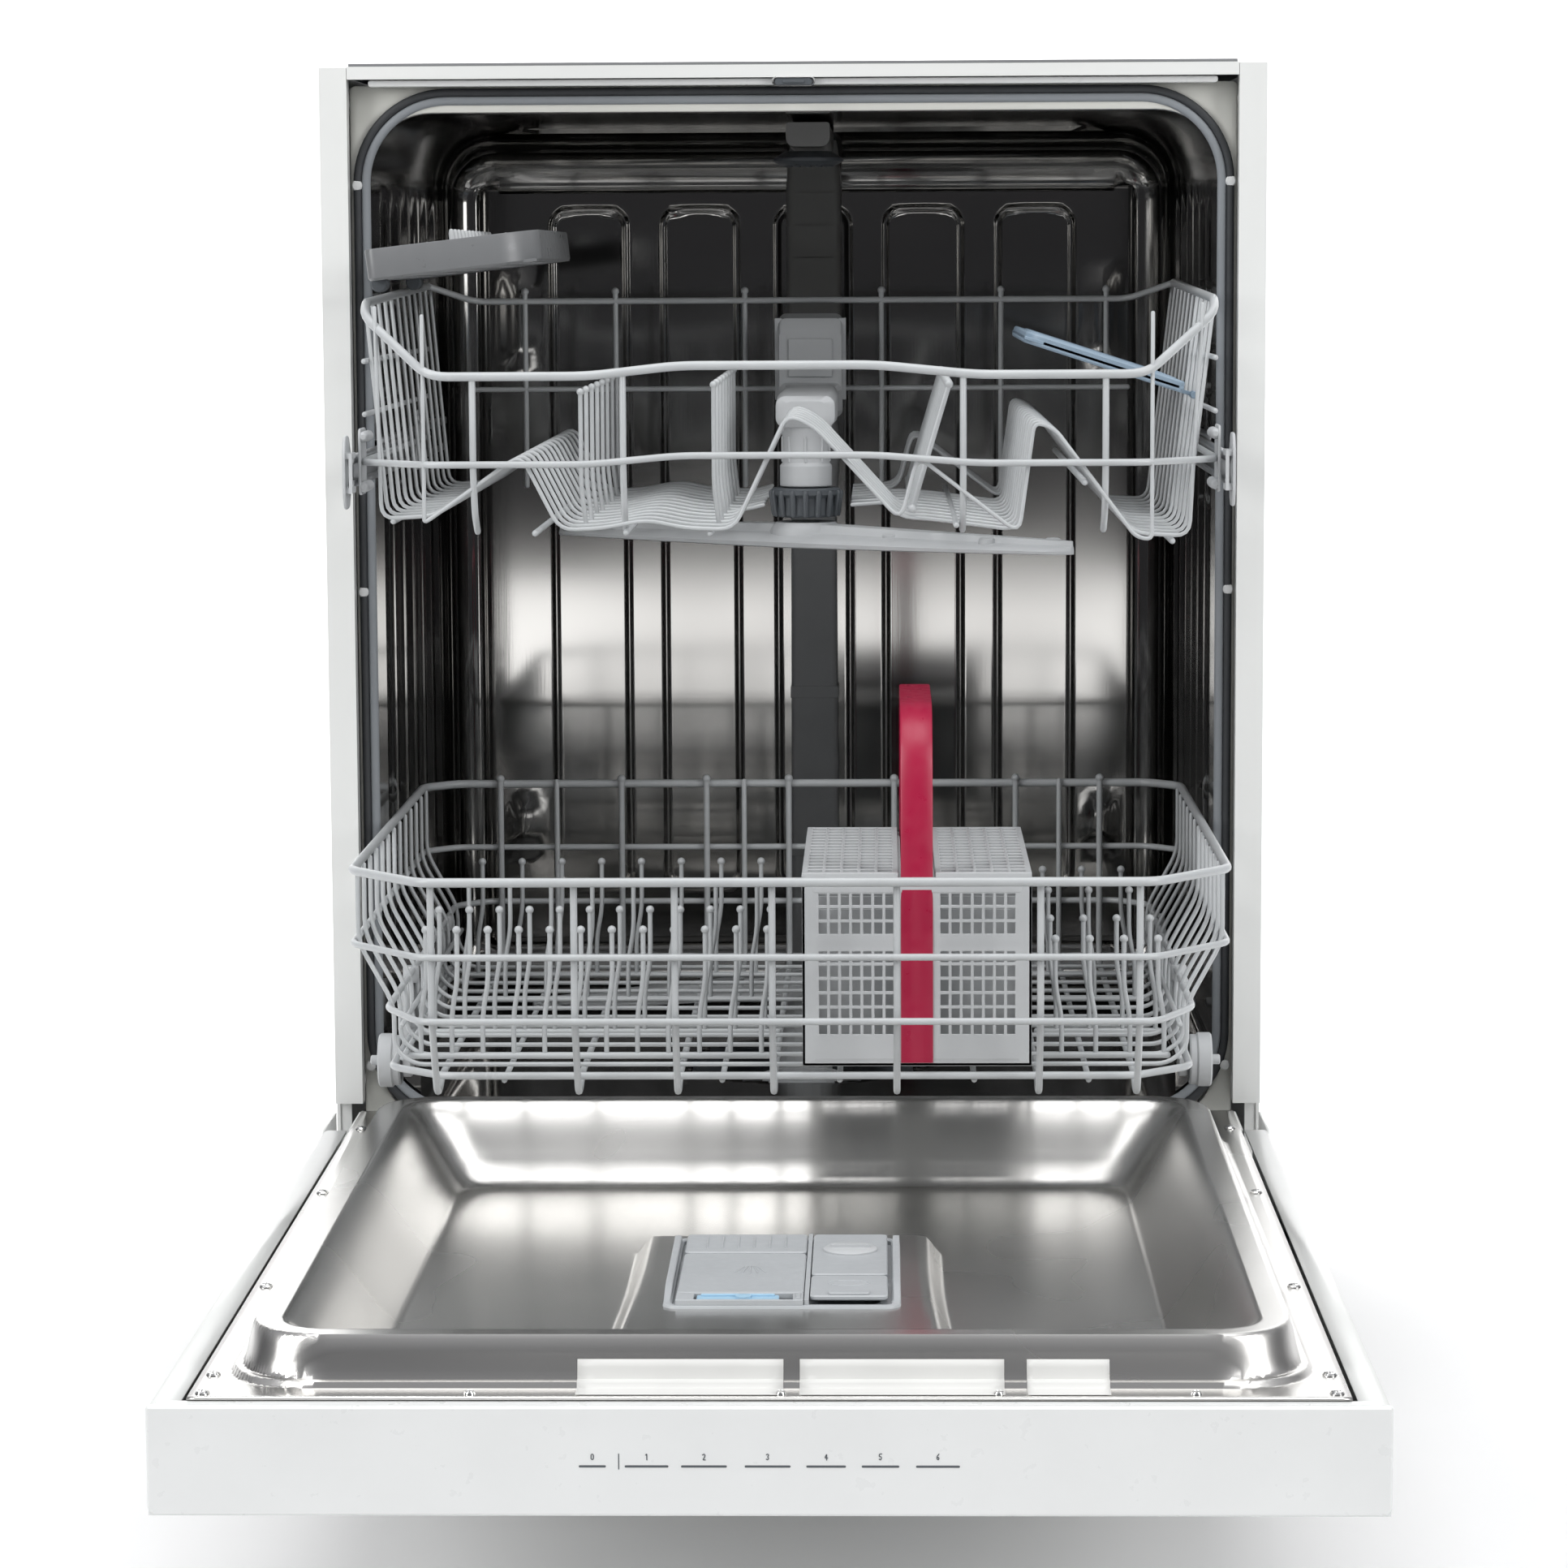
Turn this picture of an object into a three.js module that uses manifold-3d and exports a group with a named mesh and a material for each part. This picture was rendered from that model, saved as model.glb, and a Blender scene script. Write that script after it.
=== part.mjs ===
// Built-in dishwasher, 24 inch class, modelled with its door open and both racks drawn out.
// Millimetres, +Z up, -Y towards the user. Working frame: y = 0 is the cabinet's front plane and z = 0
// is the floor. The last lines shift everything so that the origin is the bottom centre of the whole object.
import * as THREE from "three";
import { mergeVertices } from "three/addons/utils/BufferGeometryUtils.js";
import Module from "manifold-3d";

const wasm = await Module();
wasm.setup();

// ---------- driving dimensions ----------
const HALF_WIDTH = 299;
const HEIGHT = 870;
const CABINET_DEPTH = 570;
const DOOR_REACH = 755; // open door's far end, ahead of the cabinet front plane
const GAP = 0.3; // between neighbouring pieces

const HINGE_Y = -48;
const HINGE_Z = 158;
const PIN_RADIUS = 4;
const PIN_HOLE_RADIUS = 4.3;

const DOOR_HALF_WIDTH = 298.5;
const DOOR_SKIN_Z = 153.5; // outer skin of the open door
const DOOR_FACE_Z = 203; // inner face of the door box
const DOOR_REAR_Y = -13;
const RIM_Z = 229; // top of the pressed rim that enters the tub
const RIM_OUTER = 266;
const RIM_INNER = 246;
const PAN_Z = 192; // recessed pan inside the rim
const SHEET = 1.5;

const TUB_HALF_WIDTH = 272;
const TUB_FLOOR_Z = 188;
const TUB_CEILING_Z = 842;
const TUB_FRONT_Y = 20;
const TUB_BACK_Y = 520;
const LEDGE_Z = RIM_Z; // lower rack wheels roll from the door rim onto this ledge
const TUB_WALL = 2;

const LOWER_TRAVEL = 262; // lower rack draws out by this much
const UPPER_TRAVEL = 198;
const RACK_CLOSED_FRONT = -4;
const LOWER_FRONT = RACK_CLOSED_FRONT - LOWER_TRAVEL;
const UPPER_FRONT = RACK_CLOSED_FRONT - UPPER_TRAVEL;
const LOWER_LENGTH = 500;
const UPPER_LENGTH = 480;
const WIRE = 5; // hoops
const THIN_WIRE = 4.4; // upright and lengthwise wires
const CROSS_WIRE = 4; // wires and tines that lie across, a step above the lengthwise ones
const CROSS_STEP = 2.9;
const TINE_WIRE = 3.6;

// tub, cabinet and base
const SEAL_FACE_Y = 14.3; // front of the door seal
const FLANGE_HALF_WIDTH = 281;
const FLANGE_LOW_Z = 168;
const FLANGE_HIGH_Z = 858;
const BEAM_Z = 862; // underside of the cabinet's top beam
const BACK_Y = CABINET_DEPTH - 2; // inner face of the back sheet
const LEDGE_FRONT_Y = TUB_FRONT_Y + 4; // the ledges start behind the closed door's rim
const SUMP_Y = 250;
const SUMP_RADIUS = 80;
const FILTER_Y = 214;
const DUCT_X = 6;
const BASE_Z = 46;
const BASE_TOP_Z = 116;
const BASE_HALF_WIDTH = 294;
const FOOT_X = 262;
const FOOT_ROWS = [
  ["front", 60],
  ["rear", 520],
];
const HINGE_PLATE = [286, 289];
const HINGE_ARM = [291, 294];

// spray arms
const ARM_Y = 268;
const ARM_Z = 236;
const ARM_RADIUS = 205;
const ARM_TURN = 24;
const UPPER_ARM_Z = 564;
const UPPER_ARM_RADIUS = 204;
const UPPER_ARM_TURN = -36;

// door furniture
const DISPENSER = { x0: -62, x1: 65, y0: -520, y1: -352 };
const LID_THICKNESS = 2.7;
const KEY_Y = -684;
const KEY_RADIUS = 7;
const KEYS = [
  ["power_key", -250],
  ["start_key", 250],
];

// lower rack
const WHEEL_RADIUS = 17;
const WHEEL_Z = RIM_Z + 1 + WHEEL_RADIUS;
const WHEEL_FACES = [248, 262];
const AXLE_RADIUS = 3;
const WHEEL_PLACES = [
  ["front", -68],
  ["rear", 150],
];
const LOWER_BASE_Z = 266;
const LOWER_RINGS = [305, 343, 387];
const LOWER_NARROW = 242;
const LOWER_WIDE = 263;
const BASKET = {
  x0: 8,
  x1: 144,
  y0: LOWER_FRONT + 39,
  y1: LOWER_FRONT + 258,
  z0: 272,
  z1: 384,
};
const BASKET_MIDDLE = (BASKET.x0 + BASKET.x1) / 2;
const BASKET_SPINE = 11; // half width of the closed strip between the two cells
const HANDLE_HALF_WIDTH = 9.5;
const HANDLE_TOP_Z = 484;

// upper rack
const UPPER_BASE_Z = 590;
const UPPER_MIDDLE_Z = 628;
const UPPER_FRONT_Z = 680;
const UPPER_BACK_Z = 720;
const UPPER_SIDE_Z = 731;
const UPPER_WIDE = 258;
const UPPER_FRONT_HALF = 214;
const HUB_X = 7;
const HUB_Y = 44;
const FOLD_Y = [UPPER_FRONT + 50, UPPER_FRONT + 350]; // ends of the folding cup tray
const TRAY_HINGE = { x: -252, z: 736, tilt: -6.5 };
const SHELF_HINGE = { x: 247, z: 664, tilt: 18 };
const TRAY_WIDTH = 104;
const SHELF_WIDTH = 112;
const TINE_X = 74;

// ---------- geometry helpers ----------
const toSolid = (geometry) => {
  const plain = geometry.clone();
  plain.deleteAttribute("normal");
  plain.deleteAttribute("uv");
  const merged = mergeVertices(plain, 1e-3);
  return new wasm.Manifold(
    new wasm.Mesh({
      numProp: 3,
      vertProperties: new Float32Array(merged.attributes.position.array),
      triVerts: new Uint32Array(merged.index.array),
    }),
  );
};

const join = (solids) => solids.reduce((whole, next) => whole.add(next));
const cut = (solid, tools) => tools.reduce((rest, tool) => rest.subtract(tool), solid);

const block = (x0, x1, y0, y1, z0, z1) => {
  const geometry = new THREE.BoxGeometry(x1 - x0, y1 - y0, z1 - z0);
  geometry.translate((x0 + x1) / 2, (y0 + y1) / 2, (z0 + z1) / 2);
  return toSolid(geometry);
};

const extrude = (points, depth) =>
  new THREE.ExtrudeGeometry(new THREE.Shape(points), { depth, bevelEnabled: false });

// Outline in x and y, standing from z0 to z1.
const prismZ = (points, z0, z1) => toSolid(extrude(points, z1 - z0).translate(0, 0, z0));

// Outline in x and z, running from y0 to y1.
const prismY = (points, y0, y1) =>
  toSolid(extrude(points, y1 - y0).rotateX(Math.PI / 2).translate(0, y1, 0));

// Outline in y and z, running from x0 to x1.
const turnToX = new THREE.Matrix4().makeBasis(
  new THREE.Vector3(0, 1, 0),
  new THREE.Vector3(0, 0, 1),
  new THREE.Vector3(1, 0, 0),
);
const prismX = (points, x0, x1) =>
  toSolid(extrude(points, x1 - x0).applyMatrix4(turnToX).translate(x0, 0, 0));

const point = (a, b) => new THREE.Vector2(a, b);

// Rounded rectangle; radii are for the low corners and the high corners.
const roundedOutline = (a0, a1, b0, b1, lowRadius, highRadius = lowRadius, steps = 5) => {
  const corners = [
    [a1 - highRadius, b1 - highRadius, highRadius, 0],
    [a0 + highRadius, b1 - highRadius, highRadius, 1],
    [a0 + lowRadius, b0 + lowRadius, lowRadius, 2],
    [a1 - lowRadius, b0 + lowRadius, lowRadius, 3],
  ];
  return corners.flatMap(([a, b, radius, quarter]) =>
    Array.from({ length: radius > 0 ? steps + 1 : 1 }, (_, i) => {
      const angle = ((quarter + (radius > 0 ? i / steps : 0)) * Math.PI) / 2;
      return point(a + radius * Math.cos(angle), b + radius * Math.sin(angle));
    }),
  );
};

const rod = (radius, length, sides) => new THREE.CylinderGeometry(radius, radius, length, sides);
const rodX = (x0, x1, y, z, radius, sides) =>
  toSolid(rod(radius, x1 - x0, sides).rotateZ(Math.PI / 2).translate((x0 + x1) / 2, y, z));
const rodZ = (x, y, z0, z1, radius, sides) =>
  toSolid(rod(radius, z1 - z0, sides).rotateX(Math.PI / 2).translate(x, y, (z0 + z1) / 2));

// Square wire from one point to another, both [x, y, z] on its centre line.
const bar = (from, to, width = THIN_WIRE) => {
  const start = new THREE.Vector3(...from);
  const end = new THREE.Vector3(...to);
  const run = end.clone().sub(start);
  const geometry = new THREE.BoxGeometry(width, width, run.length() + width * 0.8);
  const middle = start.clone().add(end).multiplyScalar(0.5);
  geometry.applyQuaternion(
    new THREE.Quaternion().setFromUnitVectors(new THREE.Vector3(0, 0, 1), run.normalize()),
  );
  geometry.translate(middle.x, middle.y, middle.z);
  return toSolid(geometry);
};

// Closed wire hoop: an outline at one height, as a flat band of the wire's width.
const hoop = (outer, inner, z, width = WIRE) =>
  prismZ(outer, z - width / 2, z + width / 2).subtract(prismZ(inner, z - width, z + width));

const evenly = (count, from, to) =>
  Array.from({ length: count }, (_, i) => from + ((to - from) * i) / (count - 1));

// ---------- scene graph ----------
const dishwasher = new THREE.Group();
dishwasher.name = "built_in_dishwasher";
const machine = new THREE.Group();
machine.position.y = (DOOR_REACH - CABINET_DEPTH) / 2;
dishwasher.add(machine);

const paints = {
  white_enamel: new THREE.MeshStandardMaterial({ color: 0xf2f3f1, roughness: 0.4, metalness: 0 }),
  stainless: new THREE.MeshStandardMaterial({ color: 0x9c9b98, roughness: 0.25, metalness: 1 }),
  zinc_steel: new THREE.MeshStandardMaterial({ color: 0x8d9092, roughness: 0.5, metalness: 0.9 }),
  rubber: new THREE.MeshStandardMaterial({ color: 0x3c3e40, roughness: 0.8, metalness: 0 }),
  grey_wire: new THREE.MeshStandardMaterial({ color: 0xc9cccd, roughness: 0.45, metalness: 0 }),
  grey_plastic: new THREE.MeshStandardMaterial({ color: 0xc4c8c9, roughness: 0.5, metalness: 0 }),
  dark_plastic: new THREE.MeshStandardMaterial({ color: 0x4a4e52, roughness: 0.5, metalness: 0 }),
  black_plastic: new THREE.MeshStandardMaterial({ color: 0x1c1d1f, roughness: 0.55, metalness: 0 }),
  blue_plastic: new THREE.MeshStandardMaterial({ color: 0x8fa3b3, roughness: 0.5, metalness: 0 }),
  crimson_plastic: new THREE.MeshStandardMaterial({ color: 0xa5182e, roughness: 0.4, metalness: 0 }),
  cast_weight: new THREE.MeshStandardMaterial({ color: 0x55585a, roughness: 0.7, metalness: 0.3 }),
};

const addPiece = (name, paint, solid) => {
  const faces = solid.getMesh();
  const geometry = new THREE.BufferGeometry();
  geometry.setAttribute("position", new THREE.BufferAttribute(faces.vertProperties, 3));
  geometry.setIndex(new THREE.BufferAttribute(faces.triVerts, 1));
  geometry.computeVertexNormals();
  const mesh = new THREE.Mesh(geometry, paints[paint]);
  mesh.name = name;
  machine.add(mesh);
  return mesh;
};

const sides = [
  ["left", -1],
  ["right", 1],
];
// Mirrors an x interval to the chosen side and keeps it in rising order.
const across = (side, near, far) => (side < 0 ? [-far, -near] : [near, far]);

// ---------- cabinet ----------
const tubOutline = (grow) => {
  const half = TUB_HALF_WIDTH + grow;
  const radius = 42 + grow;
  const top = TUB_CEILING_Z + grow;
  const floor = TUB_FLOOR_Z - grow;
  const ledge = LEDGE_Z - grow;
  const arc = (side, from) =>
    Array.from({ length: 6 }, (_, i) => {
      const angle = from + (i * Math.PI) / 10;
      const x = side * (half - radius) + radius * Math.cos(angle);
      return point(x, top - radius + radius * Math.sin(angle));
    });
  return [
    point(-half, ledge),
    point(-RIM_INNER - grow, ledge),
    point(-RIM_INNER + 10 - grow, floor),
    point(RIM_INNER - 10 + grow, floor),
    point(RIM_INNER + grow, ledge),
    point(half, ledge),
    ...arc(1, 0),
    ...arc(-1, Math.PI / 2),
  ];
};

const makeTub = () => {
  const shell = prismY(tubOutline(TUB_WALL), TUB_FRONT_Y, TUB_BACK_Y + TUB_WALL);
  const half = FLANGE_HALF_WIDTH;
  const flangePlan = roundedOutline(-half, half, FLANGE_LOW_Z, FLANGE_HIGH_Z, 0, 60);
  const flange = prismY(flangePlan, TUB_FRONT_Y, TUB_FRONT_Y + TUB_WALL);
  const inside = prismY(tubOutline(0), TUB_FRONT_Y - 5, TUB_BACK_Y);
  const mouthPlan = roundedOutline(-270, 270, TUB_FLOOR_Z + 2, TUB_CEILING_Z, 0, 42);
  const mouth = prismY(mouthPlan, TUB_FRONT_Y - 5, LEDGE_FRONT_Y);
  const drain = rodZ(0, SUMP_Y, 150, 220, SUMP_RADIUS, 32);
  const ledgeFaces = sides.map(([, side]) => {
    const width = across(side, RIM_INNER - 14, TUB_HALF_WIDTH + 1);
    return block(...width, LEDGE_FRONT_Y, LEDGE_FRONT_Y + TUB_WALL, TUB_FLOOR_Z - 1, LEDGE_Z);
  });
  const pressing = join([cut(join([shell, flange]), [mouth]), ...ledgeFaces]);
  addPiece("tub", "stainless", cut(pressing, [inside, drain]));

  const sealPlan = roundedOutline(-280, 280, 190, FLANGE_HIGH_Z - 1, 0, 60);
  const sealOuter = prismY(sealPlan, SEAL_FACE_Y, TUB_FRONT_Y - GAP);
  const sealInner = prismY(roundedOutline(-269, 269, 150, 846, 0, 50), 10, 25);
  addPiece("tub_gasket", "rubber", sealOuter.subtract(sealInner));
};

const makeCabinet = () => {
  sides.forEach(([name, side]) => {
    const panel = block(...across(side, 297, HALF_WIDTH), 9, CABINET_DEPTH - 0.5, 118, HEIGHT);
    const flange = block(...across(side, 281.3, HALF_WIDTH - 0.2), 0, 12, 206, HEIGHT - 0.5);
    const backFold = block(...across(side, 283, HALF_WIDTH - 1), BACK_Y, CABINET_DEPTH, 119, HEIGHT - 1);
    addPiece("side_panel_" + name, "white_enamel", join([panel, flange, backFold]));
  });
  const beamFace = block(-FLANGE_HALF_WIDTH, FLANGE_HALF_WIDTH, 0, 2, BEAM_Z, HEIGHT);
  const beamTop = block(-FLANGE_HALF_WIDTH, FLANGE_HALF_WIDTH, 0, 60, HEIGHT - 2, HEIGHT);
  addPiece("top_crossbar", "white_enamel", join([beamFace, beamTop]));
  addPiece("top_trim_strip", "white_enamel", block(-268, 268, 4, 13, 857.5, BEAM_Z - 0.4));
  addPiece("latch_striker", "dark_plastic", block(-11, 13, -2.4, 3.7, 856.5, BEAM_Z - GAP));
  addPiece("top_sheet", "zinc_steel", block(-296.5, 296.5, 60.5, BACK_Y - GAP, 868.5, HEIGHT));
  addPiece("back_sheet", "zinc_steel", block(-282.5, 282.5, BACK_Y, CABINET_DEPTH, 118, 866));
};

// ---------- base ----------
const makeBase = () => {
  const half = BASE_HALF_WIDTH;
  const tray = block(-half, half, 18, 562, BASE_Z, BASE_TOP_Z);
  const well = block(-half + 4, half - 4, 22, 558, BASE_Z + 4, BASE_TOP_Z + 4);
  addPiece("base_tray", "black_plastic", tray.subtract(well));
  addPiece("rear_counterweight", "cast_weight", block(-230, 230, 470, 550, BASE_Z + 4.5, 92));
  addPiece("toe_kick", "black_plastic", block(-half, half, 14, 17.5, 8, 112));
  FOOT_ROWS.forEach(([row, y]) =>
    sides.forEach(([name, side]) => {
      const stem = rodZ(side * FOOT_X, y, 4, BASE_Z - GAP, 6, 12);
      const pad = rodZ(side * FOOT_X, y, 0, 8, 20, 20);
      addPiece(row + "_foot_" + name, "black_plastic", stem.add(pad));
    }),
  );
  const bowlProfile = [
    [0, 84],
    [60, 84],
    [84, 110],
    [84, 180],
    [92, 180],
    [92, 185],
    [79, 185],
    [79, 114],
    [56, 90],
    [0, 90],
  ];
  const bowl = new THREE.LatheGeometry(bowlProfile.map(([r, z]) => point(r, z)), 28);
  addPiece("sump", "dark_plastic", toSolid(bowl.rotateX(Math.PI / 2).translate(0, SUMP_Y, 0)));
  addPiece("wash_pump", "dark_plastic", rodX(100, 210, 330, 100, 38, 20));
  addPiece("drain_pump", "dark_plastic", rodX(-190, -100, 180, 85, 26, 18));
};

const makeHingeBrackets = () =>
  sides.forEach(([name, side]) => {
    const outline = [
      point(62, 120),
      point(62, 172),
      point(HINGE_Y, 168),
      point(HINGE_Y - 8, 163),
      point(HINGE_Y - 8, 153),
      point(HINGE_Y, 148),
      point(22, 146),
      point(34, 120),
    ];
    const [x0, x1] = across(side, ...HINGE_PLATE);
    const plate = prismX(outline, x0, x1);
    const hole = rodX(x0 - 2, x1 + 2, HINGE_Y, HINGE_Z, PIN_HOLE_RADIUS, 24);
    addPiece("hinge_bracket_" + name, "zinc_steel", plate.subtract(hole));
  });

// ---------- fixed wash fittings inside the tub ----------
const makeTubFittings = () => {
  const upperDuct = block(DUCT_X - 22, DUCT_X + 22, 492, TUB_BACK_Y - GAP, 690, 826);
  const ceilingPipe = block(DUCT_X - 16, DUCT_X + 16, 236, 500, 822, TUB_CEILING_Z - GAP);
  const lowerDuct = block(DUCT_X - 17, DUCT_X + 17, 500, TUB_BACK_Y - GAP, 196, 700);
  addPiece("water_duct", "grey_plastic", join([upperDuct, ceilingPipe, lowerDuct]));
  const rose = rodZ(DUCT_X, 252, 812, 822 - GAP, 24, 20);
  addPiece("ceiling_spray_head", "dark_plastic", rose);
  sides.forEach(([name, side]) => {
    const [x0, x1] = across(side, 267.2, TUB_HALF_WIDTH - GAP);
    addPiece("tub_rail_" + name, "zinc_steel", block(x0, x1, 34, 470, 610, 634));
  });
  const screen = rodZ(0, SUMP_Y, 172, 174, 78.5, 28);
  const filterHole = rodZ(0, FILTER_Y, 160, 190, 29, 20);
  const hubHole = rodZ(0, ARM_Y, 160, 190, 21, 20);
  addPiece("filter_screen", "stainless", cut(screen, [filterHole, hubHole]));
  addPiece("lower_arm_hub", "grey_plastic", rodZ(0, ARM_Y, 92, ARM_Z - GAP, 20, 20));
  const cup = rodZ(0, FILTER_Y, 110, 186, 28, 20);
  const mouth = rodZ(0, FILTER_Y, 116, 190, 24.5, 20);
  const grip = block(-25.5, 25.5, FILTER_Y - 2, FILTER_Y + 2, 150, 186);
  addPiece("filter_cup", "grey_plastic", join([cup.subtract(mouth), grip]));
};

// Spray arm: two tapered blades round a hub, with a row of nozzles on top.
const sprayArm = (x, y, z0, z1, radius, turn) => {
  const blade = [
    [-radius, -16],
    [-radius + 10, -22],
    [-60, -25],
    [60, -25],
    [radius - 10, -22],
    [radius, -16],
    [radius, 12],
    [radius - 12, 17],
    [60, 25],
    [-60, 25],
    [-radius + 12, 17],
    [-radius, 12],
  ];
  const angle = (turn * Math.PI) / 180;
  const turned = (a, b) =>
    point(x + a * Math.cos(angle) - b * Math.sin(angle), y + a * Math.sin(angle) + b * Math.cos(angle));
  const rotated = blade.map(([a, b]) => turned(a, b));
  const nozzles = evenly(4, -radius * 0.8, radius * 0.8).map((a) => {
    const centre = turned(a, 0);
    return rodZ(centre.x, centre.y, z1 - 2, z1 + 2, 6, 10);
  });
  return join([prismZ(rotated, z0, z1), ...nozzles]);
};

// ---------- door, drawn lying open ----------
const makeDoor = () => {
  const far = -DOOR_REACH;
  const shell = block(-DOOR_HALF_WIDTH, DOOR_HALF_WIDTH, far, DOOR_REAR_Y, DOOR_SKIN_Z, DOOR_FACE_Z);
  const hollow = block(-296, 296, far + 2.5, DOOR_REAR_Y - 2.5, DOOR_SKIN_Z + 2, DOOR_FACE_Z - 2);
  const mouth = block(-282, 282, far + 12, DOOR_REAR_Y + 1, DOOR_FACE_Z - 3, DOOR_FACE_Z + 1);
  const slots = sides.map(([, side]) =>
    block(...across(side, 282.5, 296), -72, DOOR_REAR_Y + 1, DOOR_SKIN_Z - 1, DOOR_FACE_Z + 1),
  );
  addPiece("door_outer_panel", "white_enamel", cut(shell, [hollow, mouth, ...slots]));

  const baseZ = DOOR_FACE_Z + GAP;
  const rimFar = -727;
  const rimNear = -84;
  const wall = (half, inset, z0, z1, radius) =>
    prismZ(roundedOutline(-half, half, rimFar + inset, rimNear - inset, radius), z0, z1);
  const base = prismZ(roundedOutline(-280, 280, -746, -18, 12), baseZ, baseZ + SHEET);
  const rim = wall(RIM_OUTER, 0, baseZ, RIM_Z, 34);
  const panBox = wall(RIM_INNER + SHEET, 18, PAN_Z - SHEET, RIM_Z - 1, 24);
  const panHollow = wall(RIM_INNER, 20, PAN_Z, RIM_Z + 2, 22);
  const rimHollow = wall(RIM_OUTER - SHEET, SHEET, PAN_Z - 10, RIM_Z - SHEET, 32).subtract(
    wall(RIM_INNER + SHEET, 18, PAN_Z - 12, RIM_Z, 24),
  );
  const { x0, x1, y0, y1 } = DISPENSER;
  const well = block(x0 + 4, x1 - 4, y0 + 4, y1 - 4, PAN_Z - 12, PAN_Z + 8);
  addPiece("door_liner", "stainless", cut(join([base, rim, panBox]), [panHollow, rimHollow, well]));

  sides.forEach(([name, side]) => {
    const [near, far] = HINGE_ARM;
    const plate = block(...across(side, near, far), -230, HINGE_Y + 10, DOOR_SKIN_Z + 3, 190);
    const pin = rodX(...across(side, 284, near + 1), HINGE_Y, HINGE_Z, PIN_RADIUS, 24);
    const boss = rodX(...across(side, near - 1, far), HINGE_Y, HINGE_Z + 2, 10, 20);
    const lug = block(...across(side, near, far), HINGE_Y, HINGE_Y + 12, HINGE_Z, 170);
    addPiece("hinge_arm_" + name, "zinc_steel", join([plate, boss, pin, lug]));
  });

  const fasciaZ = DOOR_SKIN_Z - GAP;
  const fascia = block(-298, 298, far + 1, -655, fasciaZ - 4, fasciaZ);
  const grip = block(-90, 90, far + 14, -712, fasciaZ - 6, fasciaZ - 2);
  const glass = block(95, 175, -724, -694, fasciaZ - 6, fasciaZ - 1.5);
  const keyHoles = KEYS.map(([, x]) =>
    rodZ(x, KEY_Y, fasciaZ - 6, fasciaZ - 0.8, KEY_RADIUS + 0.5, 20),
  );
  addPiece("control_fascia", "white_enamel", cut(fascia, [grip, glass, ...keyHoles]));
  const window = block(95.4, 174.6, -723.6, -694.4, fasciaZ - 3.9, fasciaZ - 1.8);
  addPiece("display_window", "black_plastic", window);
  KEYS.forEach(([name, x]) =>
    addPiece(name, "grey_plastic", rodZ(x, KEY_Y, fasciaZ - 5.6, fasciaZ - 2.6, KEY_RADIUS, 20)),
  );

  const trayPlan = roundedOutline(x0 + 4.5, x1 - 4.5, y0 + 4.5, y1 - 4.5, 4, 4, 2);
  const tray = prismZ(trayPlan, 164, PAN_Z + 1);
  const lip = prismZ(roundedOutline(x0, x1, y0, y1, 8, 8, 3), PAN_Z + GAP, PAN_Z + 4);
  const powderCup = block(-50, 8, -494, -414, 168, PAN_Z + 6);
  const rinseWell = block(20, 54, -504, -464, 176, PAN_Z + 6);
  addPiece("dispenser_body", "grey_plastic", cut(join([tray, lip]), [powderCup, rinseWell]));
  const lidZ = PAN_Z + 4 + GAP;
  const flat = (xa, xb, ya, yb) => block(xa, xb, ya, yb, lidZ, lidZ + LID_THICKNESS);
  addPiece("detergent_lid", "grey_plastic", flat(-55, 13, -500, -406));
  addPiece("rinse_aid_lid", "grey_plastic", flat(16.5, 58, -508, -460));
  addPiece("detergent_latch", "blue_plastic", flat(-44, 0, -515, -503));
};

// ---------- lower rack ----------
// Plan of a rack hoop with cut-off front corners.
const rackPlan = (half, frontHalf, y0, y1, bevel, inset) => [
  point(-frontHalf + inset / 2, y0 + inset),
  point(frontHalf - inset / 2, y0 + inset),
  point(half - inset, y0 + bevel + inset / 2),
  point(half - inset, y1 - 22),
  point(half - 22, y1 - inset),
  point(-half + 22, y1 - inset),
  point(-half + inset, y1 - 22),
  point(-half + inset, y0 + bevel + inset / 2),
];
const rackHoop = (half, frontHalf, y0, y1, bevel, z, width = WIRE) => {
  const plan = (inset) => rackPlan(half, frontHalf, y0, y1, bevel, inset);
  return hoop(plan(0), plan(width), z, width);
};

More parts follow.
